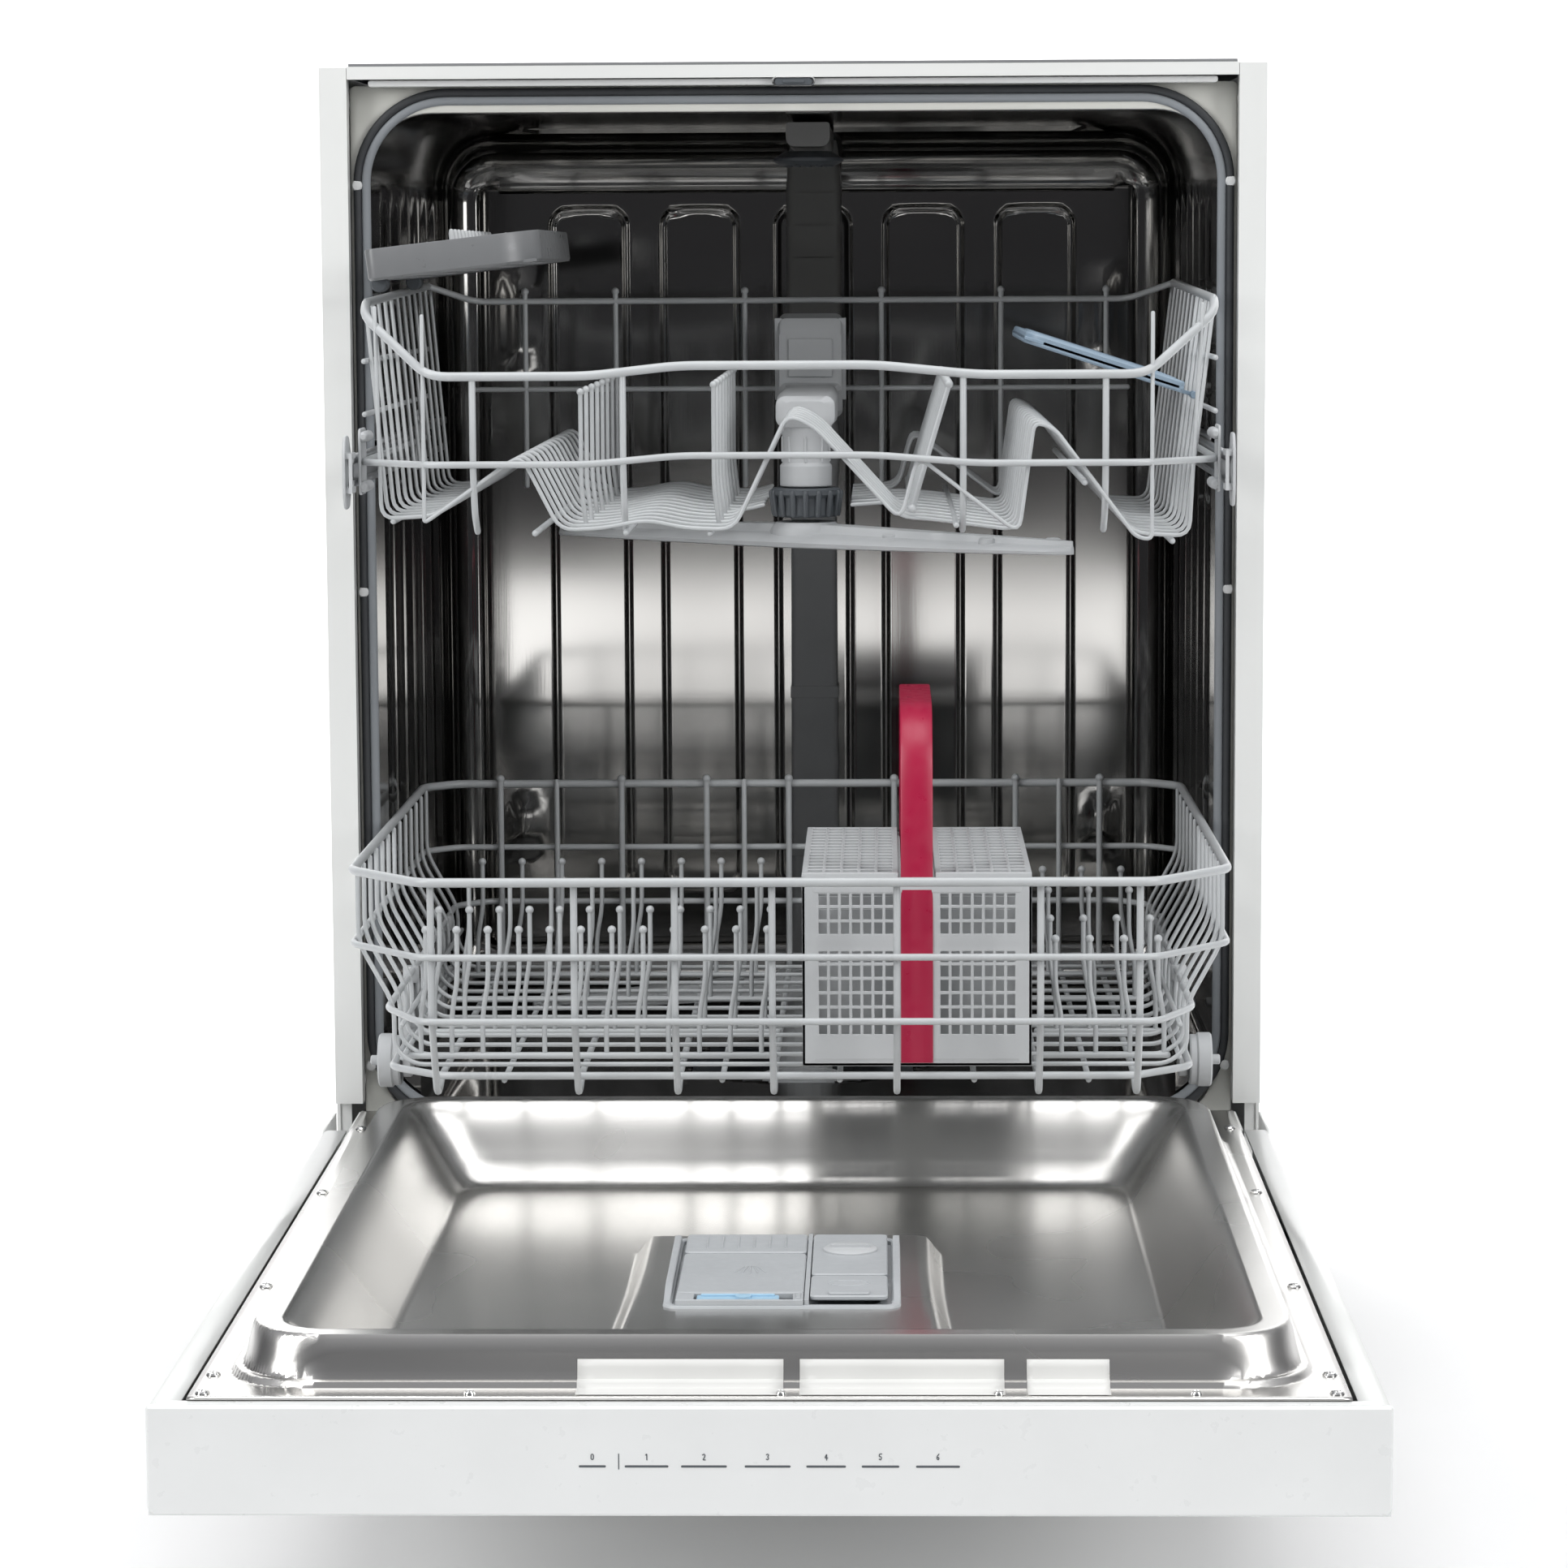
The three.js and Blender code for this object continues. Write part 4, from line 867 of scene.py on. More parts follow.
def door_liner():
    rim_x = [-266, -262, -256, -242, 242, 256, 262, 266]
    near, far = LINER_LOW[1] + 19, FRONT - 84
    dense_x = rim_x + [-206, 206, DISPENSER_LOW[0], DISPENSER_HIGH[0]]
    middle = (DISPENSER_LOW[0] + DISPENSER_HIGH[0]) / 2
    dense_x += [middle - 88, middle + 88, -222, 222]
    xs = grid_lines(LINER_LOW[0], LINER_HIGH[0], 5, dense_x, 9, 1.6)
    dense_y = [near, near + 8, near + 22, near + 36, far - 36, far - 22, far - 8, far, DISPENSER_HIGH[1] + 18]
    ys = grid_lines(LINER_LOW[1], LINER_HIGH[1], 5, dense_y, 10, 1.6)
    hole = [DISPENSER_LOW[0] + 2, DISPENSER_HIGH[0] - 2, DISPENSER_LOW[1] + 2, DISPENSER_HIGH[1] - 2]
    gx, gy = np.meshgrid(xs, ys)
    heights = liner_height(gx, gy)
    points = np.stack([gx, gy, heights], -1).reshape(-1, 3)
    columns = len(xs)
    faces = []
    for i in range(len(ys) - 1):
        for j in range(columns - 1):
            cx, cy = (xs[j] + xs[j + 1]) / 2, (ys[i] + ys[i + 1]) / 2
            if hole[0] < cx < hole[1] and hole[2] < cy < hole[3]:
                continue
            a = i * columns + j
            faces.append((a, a + 1, a + columns + 1, a + columns))
    build = Build()
    build.add(points, faces)
    piece = mesh_piece("door_inner_liner", build, LINER_STEEL, "door", ["door_liner"], smooth=50)
    solidify(piece, 0.9)
    screws = Build()
    for side in (-1, 1):
        for y in (LINER_LOW[1] + 9, LINER_LOW[1] + 45, -420, -180, LINER_HIGH[1] - 60):
            pan_screw(screws, (side * (LINER_HIGH[0] - 6.5), y, LINER_SHEET), (0, 0, 1), 3.6)
    for x in (-150, 0, 105, 200):
        pan_screw(screws, (x + 6, LINER_LOW[1] + 8, LINER_SHEET), (0, 0, 1), 2.8)
    mesh_piece("liner_screws", screws, CHROME, "door", [])


def liner_labels():
    """Three blank film labels laid over the front of the liner's rim."""
    for number, (x0, x1) in enumerate([(-93, 7), (15, 114), (125, 165)], 1):
        xs = np.linspace(x0, x1, 12)
        ys = grid_lines(LINER_LOW[1] + 6, LINER_LOW[1] + 26, 3, [LINER_LOW[1] + 22], 8, 0.8)
        gx, gy = np.meshgrid(xs, ys)
        points = np.stack([gx, gy - 0.5, liner_height(gx, gy) + 0.4], -1)
        build = Build()
        sheet_grid(build, points)
        label = mesh_piece(f"blank_label_{number}", build, PAPER, "door", [], smooth=60)
        solidify(label, 0.15, 0)


def door_box():
    """White folded door skin with rounded edges, its end face carrying the programme marks."""
    low, high = box("door_outer_panel")
    wall = 1.6
    radius = 4.5
    slot_end = FRONT - 74
    lip = high[0] - 15.5

    def profile(inward):
        """Half of the U section: top lip inwards, side and bottom, then mirrored."""
        x, z0, z1 = high[0] - inward, low[2] + inward, high[2] - inward
        right = fillet([(lip, 0, z1), (x, 0, z1), (x, 0, z0), (0, 0, z0)], radius - inward * 0.5, 6)
        left = [np.array((-p[0], 0, p[2])) for p in reversed(right[:-1])]
        return right + left

    skin = Build()
    rows = []
    for y, inset in [(low[1] + 3, 0), (slot_end, 0)]:
        rows.append([(p[0], y, p[2]) for p in profile(inset)])
    sheet_grid(skin, np.array(rows))
    piece = mesh_piece("door_skin", skin, WHITE, "door", ["door_outer_panel"], smooth=50)
    solidify(piece, wall, -1.0)

    rear = Build()
    side_path = fillet([(high[0], 0, high[2] - 0.4), (high[0], 0, low[2]), (0, 0, low[2])], radius, 6)
    path = side_path + [np.array((-p[0], 0, p[2])) for p in reversed(side_path[:-1])]
    sheet_grid(rear, np.array([[(p[0], y, p[2]) for p in path] for y in (slot_end, high[1])]))
    for side in (-1, 1):
        block(rear, (min(side * 262, side * 282), slot_end, high[2] - 1.6), (max(side * 262, side * 282), high[1], high[2]))
    block(rear, (-281, high[1] - 1.6, low[2] + 1.6), (281, high[1], high[2]))
    solidify(mesh_piece("door_skin_hinge_end", rear, WHITE, "door", [], smooth=50), wall, -1.0)

    end = Build()
    bottom = box("control_fascia")[0][2]
    face = rounded(low[0], high[0], bottom, high[2], [radius, radius, 1.6, 1.6], 8)
    prism(end, face, low[1], low[1] + 5, "y", 1.2)
    prism(end, rounded(low[0] + 4, high[0] - 4, low[1] + 3, LINER_LOW[1] + 1.5, 0.4, 2), high[2] - 1.5, high[2] + 0.2)
    mesh_piece("door_end_face", end, FASCIA_WHITE, "door", [], smooth=30)


def program_marks():
    """Numerals 0 to 6 with a plain bar under each, printed on the door's end face."""
    low, high = box("door_outer_panel")
    numeral_z, bar_z = high[2] - 24.5, high[2] - 29.2
    places = [-84, -58, -30.5, 0, 28, 54, 81.5]
    widths = [13, 21, 22, 22, 19, 18, 21]
    marks = Build()
    for number, (x, width) in enumerate(zip(places, widths)):
        numeral(marks, str(number), x, low[1] - 0.05, numeral_z)
        outline = rounded(x - width / 2, x + width / 2, bar_z - 0.55, bar_z + 0.55, 0.5, 4)
        prism(marks, outline, low[1] - 0.12, low[1] + 0.3, "y")
    prism(marks, rounded(-71.6, -71.1, bar_z - 1.5, numeral_z + 1.6, 0.1, 2), low[1] - 0.12, low[1] + 0.3, "y")
    mesh_piece("program_marks", marks, PRINT, "door", [])


STROKES = {
    "0": [[(-0.4, -0.6), (-0.4, 0.6), (0, 1), (0.4, 0.6), (0.4, -0.6), (0, -1), (-0.4, -0.6)]],
    "1": [[(-0.25, 0.6), (0.1, 1), (0.1, -1)]],
    "2": [[(-0.4, 0.6), (0, 1), (0.4, 0.55), (0.3, 0), (-0.4, -1), (0.45, -1)]],
    "3": [[(-0.4, 0.7), (0, 1), (0.4, 0.55), (0, 0.05), (0.4, -0.5), (0, -1), (-0.4, -0.7)]],
    "4": [[(0.2, -1), (0.2, 1), (-0.45, -0.35), (0.5, -0.35)]],
    "5": [[(0.4, 1), (-0.35, 1), (-0.4, 0.1), (0.1, 0.2), (0.4, -0.35), (0, -1), (-0.4, -0.7)]],
    "6": [[(0.3, 1), (-0.3, 0.2), (-0.4, -0.5), (0, -1), (0.4, -0.5), (0.05, 0), (-0.35, -0.3)]],
}


def numeral(build, text, x, y, z, size=1.5, stroke=0.24):
    for path in STROKES[text]:
        points = [(x + a * size, y, z + b * size) for a, b in path]
        tube(build, fillet(points, 0.5, 3), stroke, 6)


def control_front():
    """Keys and window of the control strip on the door's outer face, which looks down while it is open."""
    low, high = box("control_fascia")
    grip = rounded(-90, 90, FRONT - 741, FRONT - 712, 10, 8)
    window_low, window_high = box("display_window")
    recess = Build()
    rings = [(0, low[2] - 0.1), (1, low[2] - 0.5), (3, low[2] - 0.4), (4.5, low[2] + 0.4), (7, low[2] + 0.6)]
    loft(recess, [[(p[0], p[1], z) for p in inset_outline(grip, inset)] for inset, z in rings])
    inner = [(p[0], p[1], low[2] + 0.1 - 0.4) for p in inset_outline(grip, 4.5)]
    recess.add(inner, [tuple(range(len(inner)))])
    mesh_piece("grip_lip", recess, DARK_GREY, "door", [])
    window = Build()
    outline = rounded(window_low[0], window_high[0], window_low[1], window_high[1], 3, 6)
    prism(window, outline, low[2] - 0.35, low[2] + 1, "z", 0.3)
    mesh_piece("display_glass", window, BLACK, "door", ["display_window"])
    for node, body in (("power_key", "power_button"), ("start_key", "start_button")):
        key_low, key_high = box(node)
        centre = ((key_low[0] + key_high[0]) / 2, (key_low[1] + key_high[1]) / 2, 0)
        radius = (key_high[0] - key_low[0]) / 2
        build = Build()
        rings = [(0, key_low[2] + 0.5), (radius * 0.6, key_low[2] + 0.45), (radius * 0.85, key_low[2] + 0.1)]
        rings += [(radius * 0.95, key_low[2] + 0.1), (radius, key_low[2] + 0.5), (radius, key_high[2]), (0, key_high[2])]
        lathe(build, centre, (0, 0, -1), [(r, -z) for r, z in rings], 40)
        mesh_piece(f"{node}_cap", build, PALE_GREY, body, [node], smooth=30)


def dispenser():
    """Moulded dispenser: frame, powder cup, rinse-aid well and their lids."""
    low, high = DISPENSER_LOW, DISPENSER_HIGH
    top = high[2]
    frame_ring = rounded(low[0], high[0], low[1], high[1], 9, 8)
    build = Build()
    rings = [(0, top - 6), (0, top - 1.4), (0.6, top - 0.3), (1.8, top), (4.2, top), (5, top - 0.8), (5, top - 4)]
    loft(build, [[(p[0], p[1], z) for p in inset_outline(frame_ring, inset)] for inset, z in rings])
    x_divider = 14.7
    block(build, (x_divider - 1.2, low[1] + 3, top - 5), (x_divider + 1.2, high[1] - 3, top + 2.6))
    cup = box("detergent_lid")
    well = box("rinse_aid_lid")
    latch = box("detergent_latch")
    rooms = [(cup[0][0] + 5, cup[1][0] - 5, cup[0][1] + 6, cup[1][1] - 12), (well[0][0] + 4, well[1][0] - 4, well[0][1] + 6, well[1][1] - 5)]
    xs = [low[0] + 4] + [v for room in rooms for v in room[:2]] + [high[0] - 4]
    ys = sorted({low[1] + 4, high[1] - 4} | {v for room in rooms for v in room[2:]})
    inside = lambda x, y, room: room[0] < x < room[1] and room[2] < y < room[3]
    deck = lambda i, j: not any(inside((xs[i] + xs[i + 1]) / 2, (ys[j] + ys[j + 1]) / 2, room) for room in rooms)
    plate_with_windows(build, xs, ys, deck, top - 4.4, top - 3)
    for x0, x1, y0, y1 in rooms:
        ring = rounded(x0, x1, y0, y1, 5, 6)
        rings = [[(p[0], p[1], z) for p in inset_outline(ring, inset)] for inset, z in [(0, top - 3), (0.8, top - 20), (4, top - 25), (8, top - 26)]]
        loft(build, list(reversed(rings)))
        build.add([(p[0], p[1], top - 26) for p in inset_outline(ring, 8)], [tuple(range(len(ring)))])
    mesh_piece("dispenser_frame", build, PALE_GREY, "door", ["dispenser_body"], smooth=35)

    wings = Build()
    for x in (low[0] + 2.2, high[0] - 2.2):
        outline = [(low[1] + 6, top - 1), (high[1] - 10, top - 1), (high[1] - 16, top + 5.4), (low[1] + 34, top + 4.4)]
        prism(wings, [(p[0], p[1]) for p in fillet([(a, b, 0) for a, b in outline], 5, 5, True)], x - 1.9, x + 1.9, "x", 0.5)
    mesh_piece("dispenser_side_wings", wings, PALE_GREY, "door", [], smooth=35)

    lid = Build()
    (x0, y0, z0), (x1, y1, z1) = cup
    prism(lid, rounded(x0, x1, y0, y1, 3.5, 6), z0, z1, "z", 0.7)
    for k in range(-2, 3):
        foot = ((x0 + x1) / 2 + 4 + k * 1.6, (y0 + y1) / 2 + 14, z1)
        tip = ((x0 + x1) / 2 + 4 + k * 4.2, (y0 + y1) / 2 - 3 + abs(k) * 1.5, z1)
        tube(lid, [foot, tip], 0.45, 6)
    mesh_piece("detergent_cover_plate", lid, PALE_GREY, "detergent_cover", ["detergent_lid"])

    guide = Build()
    (gx0, gy0, _), (gx1, gy1, _) = latch
    xs = [x0, gx0 - 1.5, gx1 + 7.5, x1]
    ys = [gy0 - 3, gy0 - 0.8, gy1 + 0.8, y0 - 0.6]
    plate_with_windows(guide, xs, ys, lambda i, j: not (i == 1 and j == 1), top - 0.2, z1)
    block(guide, (gx1 + 9, gy0, z1 - 0.2), (x1 - 1.5, gy1, z1 + 0.6))
    mesh_piece("slider_guide", guide, PALE_GREY, "door", [], bevel=0.35)

    pads = Build()
    for px0, px1, py0 in ((x0, x1, y1 + 3.4), (well[0][0], well[1][0], well[1][1] + 3.4)):
        prism(pads, rounded(px0, px1, py0, high[1] - 5.5, 3, 6), top - 2.9, z1, "z", 0.7)
    for x in np.linspace(x0 + 12, x1 - 12, 6):
        tube(pads, [(x, y1 + 14, z1), (x, high[1] - 14, z1)], 0.6, 6)
    mesh_piece("dispenser_far_covers", pads, PALE_GREY, "door", [])

    lid = Build()
    (x0, y0, z0), (x1, y1, z1) = well
    prism(lid, rounded(x0, x1, y0, y1, 3, 6), z0, z1, "z", 0.7)
    middle = (x0 + x1) / 2
    ring = [(middle + 11 * math.cos(a), (y0 + y1) / 2 + 5 + 6 * math.sin(a), z1) for a in np.linspace(0, 2 * math.pi, 33)[:-1]]
    tube(lid, ring, 0.4, 6, closed=True)
    prism(lid, rounded(middle - 11, middle + 11, y0 + 1.5, y0 + 9, 1.5, 4), z1 - 0.2, z1 + 1.2, "z", 0.4)
    mesh_piece("rinse_aid_cover_plate", lid, PALE_GREY, "rinse_aid_cover", ["rinse_aid_lid"])

    (x0, y0, z0), (x1, y1, z1) = latch
    slider = Build()
    prism(slider, rounded(x0, x1, y0, y1, 1.2, 5), z0, z1 - 0.8, "z", 0.4)
    tube(slider, [(x0 + 3, y1 - 2.5, z1 - 0.4), (x1 - 3, y1 - 2.5, z1 - 0.4)], 0.9, 8)
    lathe(slider, ((x0 + x1) / 2 + 3, (y0 + y1) / 2 - 1, z1 - 0.9), (0, 0, 1), [(4.4, 0), (4.2, 1.5), (2, 2), (0, 2)], 24)
    mesh_piece("detergent_slider_grip", slider, LIGHT_BLUE, "detergent_slider", ["detergent_latch"])
    dose = Build()
    cap_x, cap_y = (well[0][0] + well[1][0]) / 2, high[1] - 46
    lathe(dose, (cap_x, cap_y, z1 - 0.2), (0, 0, 1), [(15, 0), (15, 1.2), (13.8, 2), (4, 2.1), (0, 2.1)], 40)
    block(dose, (cap_x - 11, cap_y - 1.5, z1 + 1), (cap_x + 11, cap_y + 1.5, z1 + 3.4))
    mesh_piece("rinse_dose_cap", dose, LIGHT_GREY, "door", [])


# ---------------------------------------------------------------- racks
def hoop_points(half, front_half, front, back, bevel, z, radius=9):
    corners = [(-front_half, front, z), (front_half, front, z), (half, front + bevel, z), (half, back - 22, z)]
    corners += [(half - 22, back, z), (-half + 22, back, z), (-half, back - 22, z), (-half, front + bevel, z)]
    return fillet(corners, radius, 4, closed=True)


def tine(build, x, y, foot, top, lean=0.0, kink=4.0, radius=1.5, ball=2.6):
    """An upright pin with a slight kink low down and a ball tip."""
    path = [(x - kink, y + 3, foot), (x - kink, y + 3, foot + (top - foot) * 0.34)]
    path += [(x, y, foot + (top - foot) * 0.6), (x + lean, y, top)]
    tube(build, fillet(path, 9, 3), radius, 8, ball=ball)


def lower_rack():
    low, high = box("lower_rack_frame")
    front, back = low[1] + 2.4, high[1] - 2.2
    base = low[2] + 28
    top = high[2] - 3.2
    levels = (base + 39, base + 77)
    narrow, wide = high[0] - 23.4, high[0] - 2.4
    basket_low, basket_high = box("basket_body")
    build = Build()
    tube(build, hoop_points(narrow, 206, front + 38, back, 30, base), 2.3, 10, closed=True)
    tube(build, hoop_points(narrow, 216, front, back, 50, levels[0]), 2.1, 10, closed=True)
    tube(build, hoop_points(wide, 215, front, back, 55, levels[1]), 2.1, 10, closed=True)
    tube(build, hoop_points(wide, 215, front, back, 55, top), 2.8, 12, closed=True)

    verticals = [-209, -125, -66, -9, 64, 148, 206]
    for x in verticals:
        under = base - 3.6
        path = [(x, front + 5, top), (x, front + 3.8, levels[0]), (x, front + 30, under - 5)]
        path += [(x, front + 44, under - 6), (x, front + 60, under), (x, back - 8, under)]
        path += [(x, back - 4.5, base + 8), (x, back - 4.5, top + 2)]
        tube(build, fillet(path, 12, 5), 2.1, 8, ball=2.9)
    for x in (-170, -40, 30, 110, 178):
        path = [(x, front + 42, base - 3.4), (x, back - 8, base - 3.4), (x, back - 4.5, base + 8), (x, back - 4.5, top + 2)]
        if basket_low[0] < x < basket_high[0]:
            path = path[:3] + [(x, back - 4.5, levels[1] + 2)]
        tube(build, fillet(path, 9, 5), 1.8, 8)

    for y in np.linspace(front + 62, back - 30, 13):
        path = [(-wide + 2.6, y, top - 2), (-wide + 2.6, y, levels[1]), (-narrow + 2.4, y, levels[0]), (-narrow + 2.4, y, base + 12)]
        path += [(-narrow + 14, y, base + 2.6)]
        path = path + [(-x, y, z) for x, y, z in reversed(path)]
        tube(build, fillet(path, 9, 4), 1.4, 8)

    foot = base + 2
    rows_left = [(front + 92, -243 + 22, -14, 12), (front + 176, -221, -14, 12), (front + 300, -214, -26, 8), (front + 400, -214, -26, 8)]
    for y, first, last, count in rows_left:
        tube(build, [(first - 12, y + 3, foot), (last + 4, y + 3, foot)], 2.1, 8)
        for x in np.linspace(first, last, count):
            tine(build, x, y, foot, foot + 76)
    for y, xs in ((front + 92, np.linspace(160, 222, 4)), (front + 176, np.linspace(160, 222, 4))):
        tube(build, [(152, y + 3, foot), (228, y + 3, foot)], 2.1, 8)
        for x in xs:
            tine(build, x, y, foot, foot + 70, kink=-4)
    for y in (front + 300, front + 400):
        tube(build, [(20, y + 3, foot), (228, y + 3, foot)], 2.1, 8)
        for x in np.linspace(32, 216, 8):
            tine(build, x, y, foot, foot + 70, kink=-4)
    for side in (-1, 1):
        for shift in (14, 34):
            path = [(side * (narrow - 6), front + 70, levels[0] - shift), (side * (narrow - 6), back - 40, levels[0] - shift)]
            tube(build, path, 1.6, 8)
    mesh_piece("lower_rack_wires", build, WIRE_GREY, "lower_rack", ["lower_rack_frame"], smooth=60)


def rack_wheels():
    """Wheels of the lower rack with tread, flange and spokes, and the clip brackets that hold them."""
    for place in ("front", "rear"):
        for name, side in (("left", -1), ("right", 1)):
            node = f"lower_wheel_{place}_{name}"
            low, high = box(node)
            centre = (low + high) / 2
            radius = (high[2] - low[2]) / 2
            half = (high[0] - low[0]) / 2
            wheel = Build()
            profile = [(3.6, -half + 2.5), (3.6, -half + 0.6), (5.5, -half + 0.6), (5.8, -half + 3.5), (radius - 5, -half + 3.5)]
            profile += [(radius - 4.2, -half + 0.6), (radius - 3.6, -half), (radius - 1, -half), (radius, -half + 1)]
            profile += [(radius, 1.5), (radius - 1.2, 2.6), (radius - 1.2, half - 1), (radius - 2, half), (radius - 4, half)]
            profile += [(radius - 4.6, half - 1.2), (6, half - 2), (5.6, half), (3.6, half), (3.6, -half + 2.5)]
            lathe(wheel, centre, (side, 0, 0), [(r, -a) for r, a in profile], 48)
            for k in range(6):
                angle = k * math.pi / 3
                d = np.array((0, math.cos(angle), math.sin(angle)))
                tube(wheel, [centre + d * 5.6 + (side * (half - 2.4), 0, 0), centre + d * (radius - 4.4) + (side * (half - 2.4), 0, 0)], 0.9, 6)
            mesh_piece(f"roller_{place}_{name}", wheel, LIGHT_GREY, f"wheel_{place}_{name}", [node], smooth=35)
            rack_low, rack_high = box("lower_rack_frame")
            bracket = Build()
            x_in = side * (rack_high[0] - 22)
            x_out = side * (rack_high[0] - 16.6)
            outline = [(centre[1] - 11, centre[2] - 5), (centre[1] - 6, centre[2] - 10), (centre[1] + 6, centre[2] - 10)]
            outline += [(centre[1] + 11, centre[2] - 5), (centre[1] + 13, rack_low[2] + 62), (centre[1] - 13, rack_low[2] + 62)]
            shape = [(p[0], p[1]) for p in fillet([(a, b, 0) for a, b in outline], 4, 4, True)]
            prism(bracket, shape, min(x_in, x_out), max(x_in, x_out), "x", 0.6)
            for z in (rack_low[2] + 30, rack_low[2] + 65):
                lathe(bracket, (x_in, centre[1], z - 6), (0, 0, 1), [(0, 0), (4.6, 0), (5.2, 1), (5.2, 9), (4.6, 10), (0, 10)], 24)
            lathe(bracket, (x_out, centre[1], centre[2]), (side, 0, 0), [(4.6, -1), (4.6, 1.4), (3.2, 1.8), (3.2, 2 * half + 6.4), (2.2, 2 * half + 7), (0, 2 * half + 7)], 24)
            mesh_piece(f"roller_bracket_{place}_{name}", bracket, LIGHT_GREY, "lower_rack", [], smooth=35)


def cutlery_basket():
    """Cutlery basket: windowed walls, floor and partitions, slotted lids and the crimson handle band."""
    (x0, y0, z0), (x1, y1, z1) = box("basket_body")
    middle = (x0 + x1) / 2
    wall = 1.8
    windows = [(x0 + 9, middle - 13), (middle + 13, x1 - 9)]
    body = Build()

    def grid_wall(a_lines, levels, low, high, axis, is_window):
        plate_with_windows(body, a_lines, levels, lambda i, j: not is_window(i, j), low, high, axis)

    xs = []
    for a, b in windows:
        cells = np.linspace(a, b, 8)
        for k in range(7):
            xs += [cells[k] + 0.9, cells[k + 1] - 0.9]
    xs = [x0] + xs + [x1]
    levels = [z0]
    bands = [z0 + 18 + k * 8.6 for k in range(10)]
    for z in bands:
        levels += [z + 0.9, z + 7.7]
    levels += [z1]
    column = lambda i: i % 2 == 1 and not abs((xs[i] + xs[i + 1]) / 2 - middle) < 13
    pane = lambda i, j: column(i) and j % 2 == 1 and j != 13
    for y in (y0, y1 - wall):
        grid_wall(xs, levels, y, y + wall, "y", pane)
    ys = []
    for k in range(16):
        cell = (y1 - y0 - 24) / 16
        ys += [y0 + 12 + k * cell + 0.9, y0 + 12 + (k + 1) * cell - 0.9]
    ys = [y0] + ys + [y1]
    side_pane = lambda i, j: i % 2 == 1 and j % 2 == 1 and j != 13
    for x in (x0, x1 - wall):
        grid_wall(ys, levels, x, x + wall, "x", side_pane)
    floor_pane = lambda i, j: i % 2 == 1 and j % 2 == 1 and column(i)
    plate_with_windows(body, xs, ys, lambda i, j: not floor_pane(i, j), z0, z0 + wall)
    for x in (middle - 10, middle + 10):
        block(body, (x - 0.8, y0 + 1, z0 + 1), (x + 0.8, y1 - 1, z1 - 2))
    for y in np.linspace(y0, y1, 5)[1:-1]:
        for a, b in ((x0 + 1, middle - 10), (middle + 10, x1 - 1)):
            block(body, (a, y - 0.7, z0 + 1), (b, y + 0.7, z1 - 26))
    mesh_piece("basket_shell", body, LIGHT_GREY, "basket", ["basket_body"], bevel=0.25, segments=1)

    rim = Build()
    ring = rounded(x0, x1, y0, y1, 8, 6)
    rings = [(0.6, z1 - 9), (-0.2, z1 - 8), (-0.6, z1 - 1.2), (0, z1 - 0.2), (2.4, z1 - 0.2), (2.8, z1 - 9)]
    loft(rim, [[(p[0], p[1], z) for p in inset_outline(ring, inset)] for inset, z in rings])
    rings = [(0.4, z0 + 10), (-0.1, z0 + 3), (1.4, z0 + 0.2), (4, z0), (5, z0 + 1)]
    loft(rim, [[(p[0], p[1], z) for p in inset_outline(ring, inset)] for inset, z in reversed(rings)])
    mesh_piece("basket_rims", rim, LIGHT_GREY, "basket", [], smooth=35)

    for name, a, b in (("left", *[box("basket_lid_left")[k][0] for k in (0, 1)]), ("right", *[box("basket_lid_right")[k][0] for k in (0, 1)])):
        low, high = box(f"basket_lid_{name}")
        lid = Build()
        columns = 5
        xs = [a]
        cell = (b - a - 5) / columns
        for k in range(columns):
            xs += [a + 2.5 + k * cell + 0.8, a + 2.5 + (k + 1) * cell - 0.8]
        xs += [b]
        rows = 15
        ys = [low[1]]
        step = (high[1] - low[1] - 8) / rows
        for k in range(rows):
            ys += [low[1] + 4 + k * step + 1.1, low[1] + 4 + (k + 1) * step - 1.1]
        ys += [high[1]]
        hole = lambda i, j: i % 2 == 1 and j % 2 == 1
        plate_with_windows(lid, xs, ys, lambda i, j: not hole(i, j), low[2], high[2])
        mesh_piece(f"basket_grid_lid_{name}", lid, LIGHT_GREY, f"basket_cover_{name}", [f"basket_lid_{name}"], bevel=0.3, segments=1)

    low, high = box("basket_handle")
    half = (y1 - y0) / 2 + 1.4
    centre_y = (y1 + y0) / 2
    arch_top = high[2]
    band = Build()
    corners = [(centre_y - half, z0 + 2), (centre_y - half, z1 + 3), (centre_y - half + 16, arch_top)]
    corners += [(2 * centre_y - y, z) for y, z in reversed(corners)]
    outer = fillet([(0, y, z) for y, z in corners], 44, 12)
    ring_rows = []
    inner = []
    count = len(outer)
    for i, p in enumerate(outer):
        before, after = outer[max(0, i - 1)], outer[min(count - 1, i + 1)]
        d = (after - before) / np.linalg.norm(after - before)
        n = np.array([0, d[2], -d[1]])
        inner.append(n)
    width = (high[0] - low[0]) / 2
    mid_x = (high[0] + low[0]) / 2
    section = [(-width, 0.6), (-width + 0.8, 0), (width - 0.8, 0), (width, 0.6), (width, 5.2), (width - 1, 6.6)]
    section += [(width - 2.4, 6.6), (width - 3, 2.2), (-width + 3, 2.2), (-width + 2.4, 6.6), (-width + 1, 6.6), (-width, 5.2)]
    for p, n in zip(outer, inner):
        ring_rows.append([tuple(np.array([mid_x + a, p[1], p[2]]) + n * depth) for a, depth in section])
    loft(band, ring_rows, caps=True)
    band_piece = mesh_piece("basket_handle_band", band, CRIMSON, "basket", ["basket_handle"], smooth=40)
    return band_piece


FRONT_CORNER = 212  # half width of the upper rack's front, which enters the closed door's rim


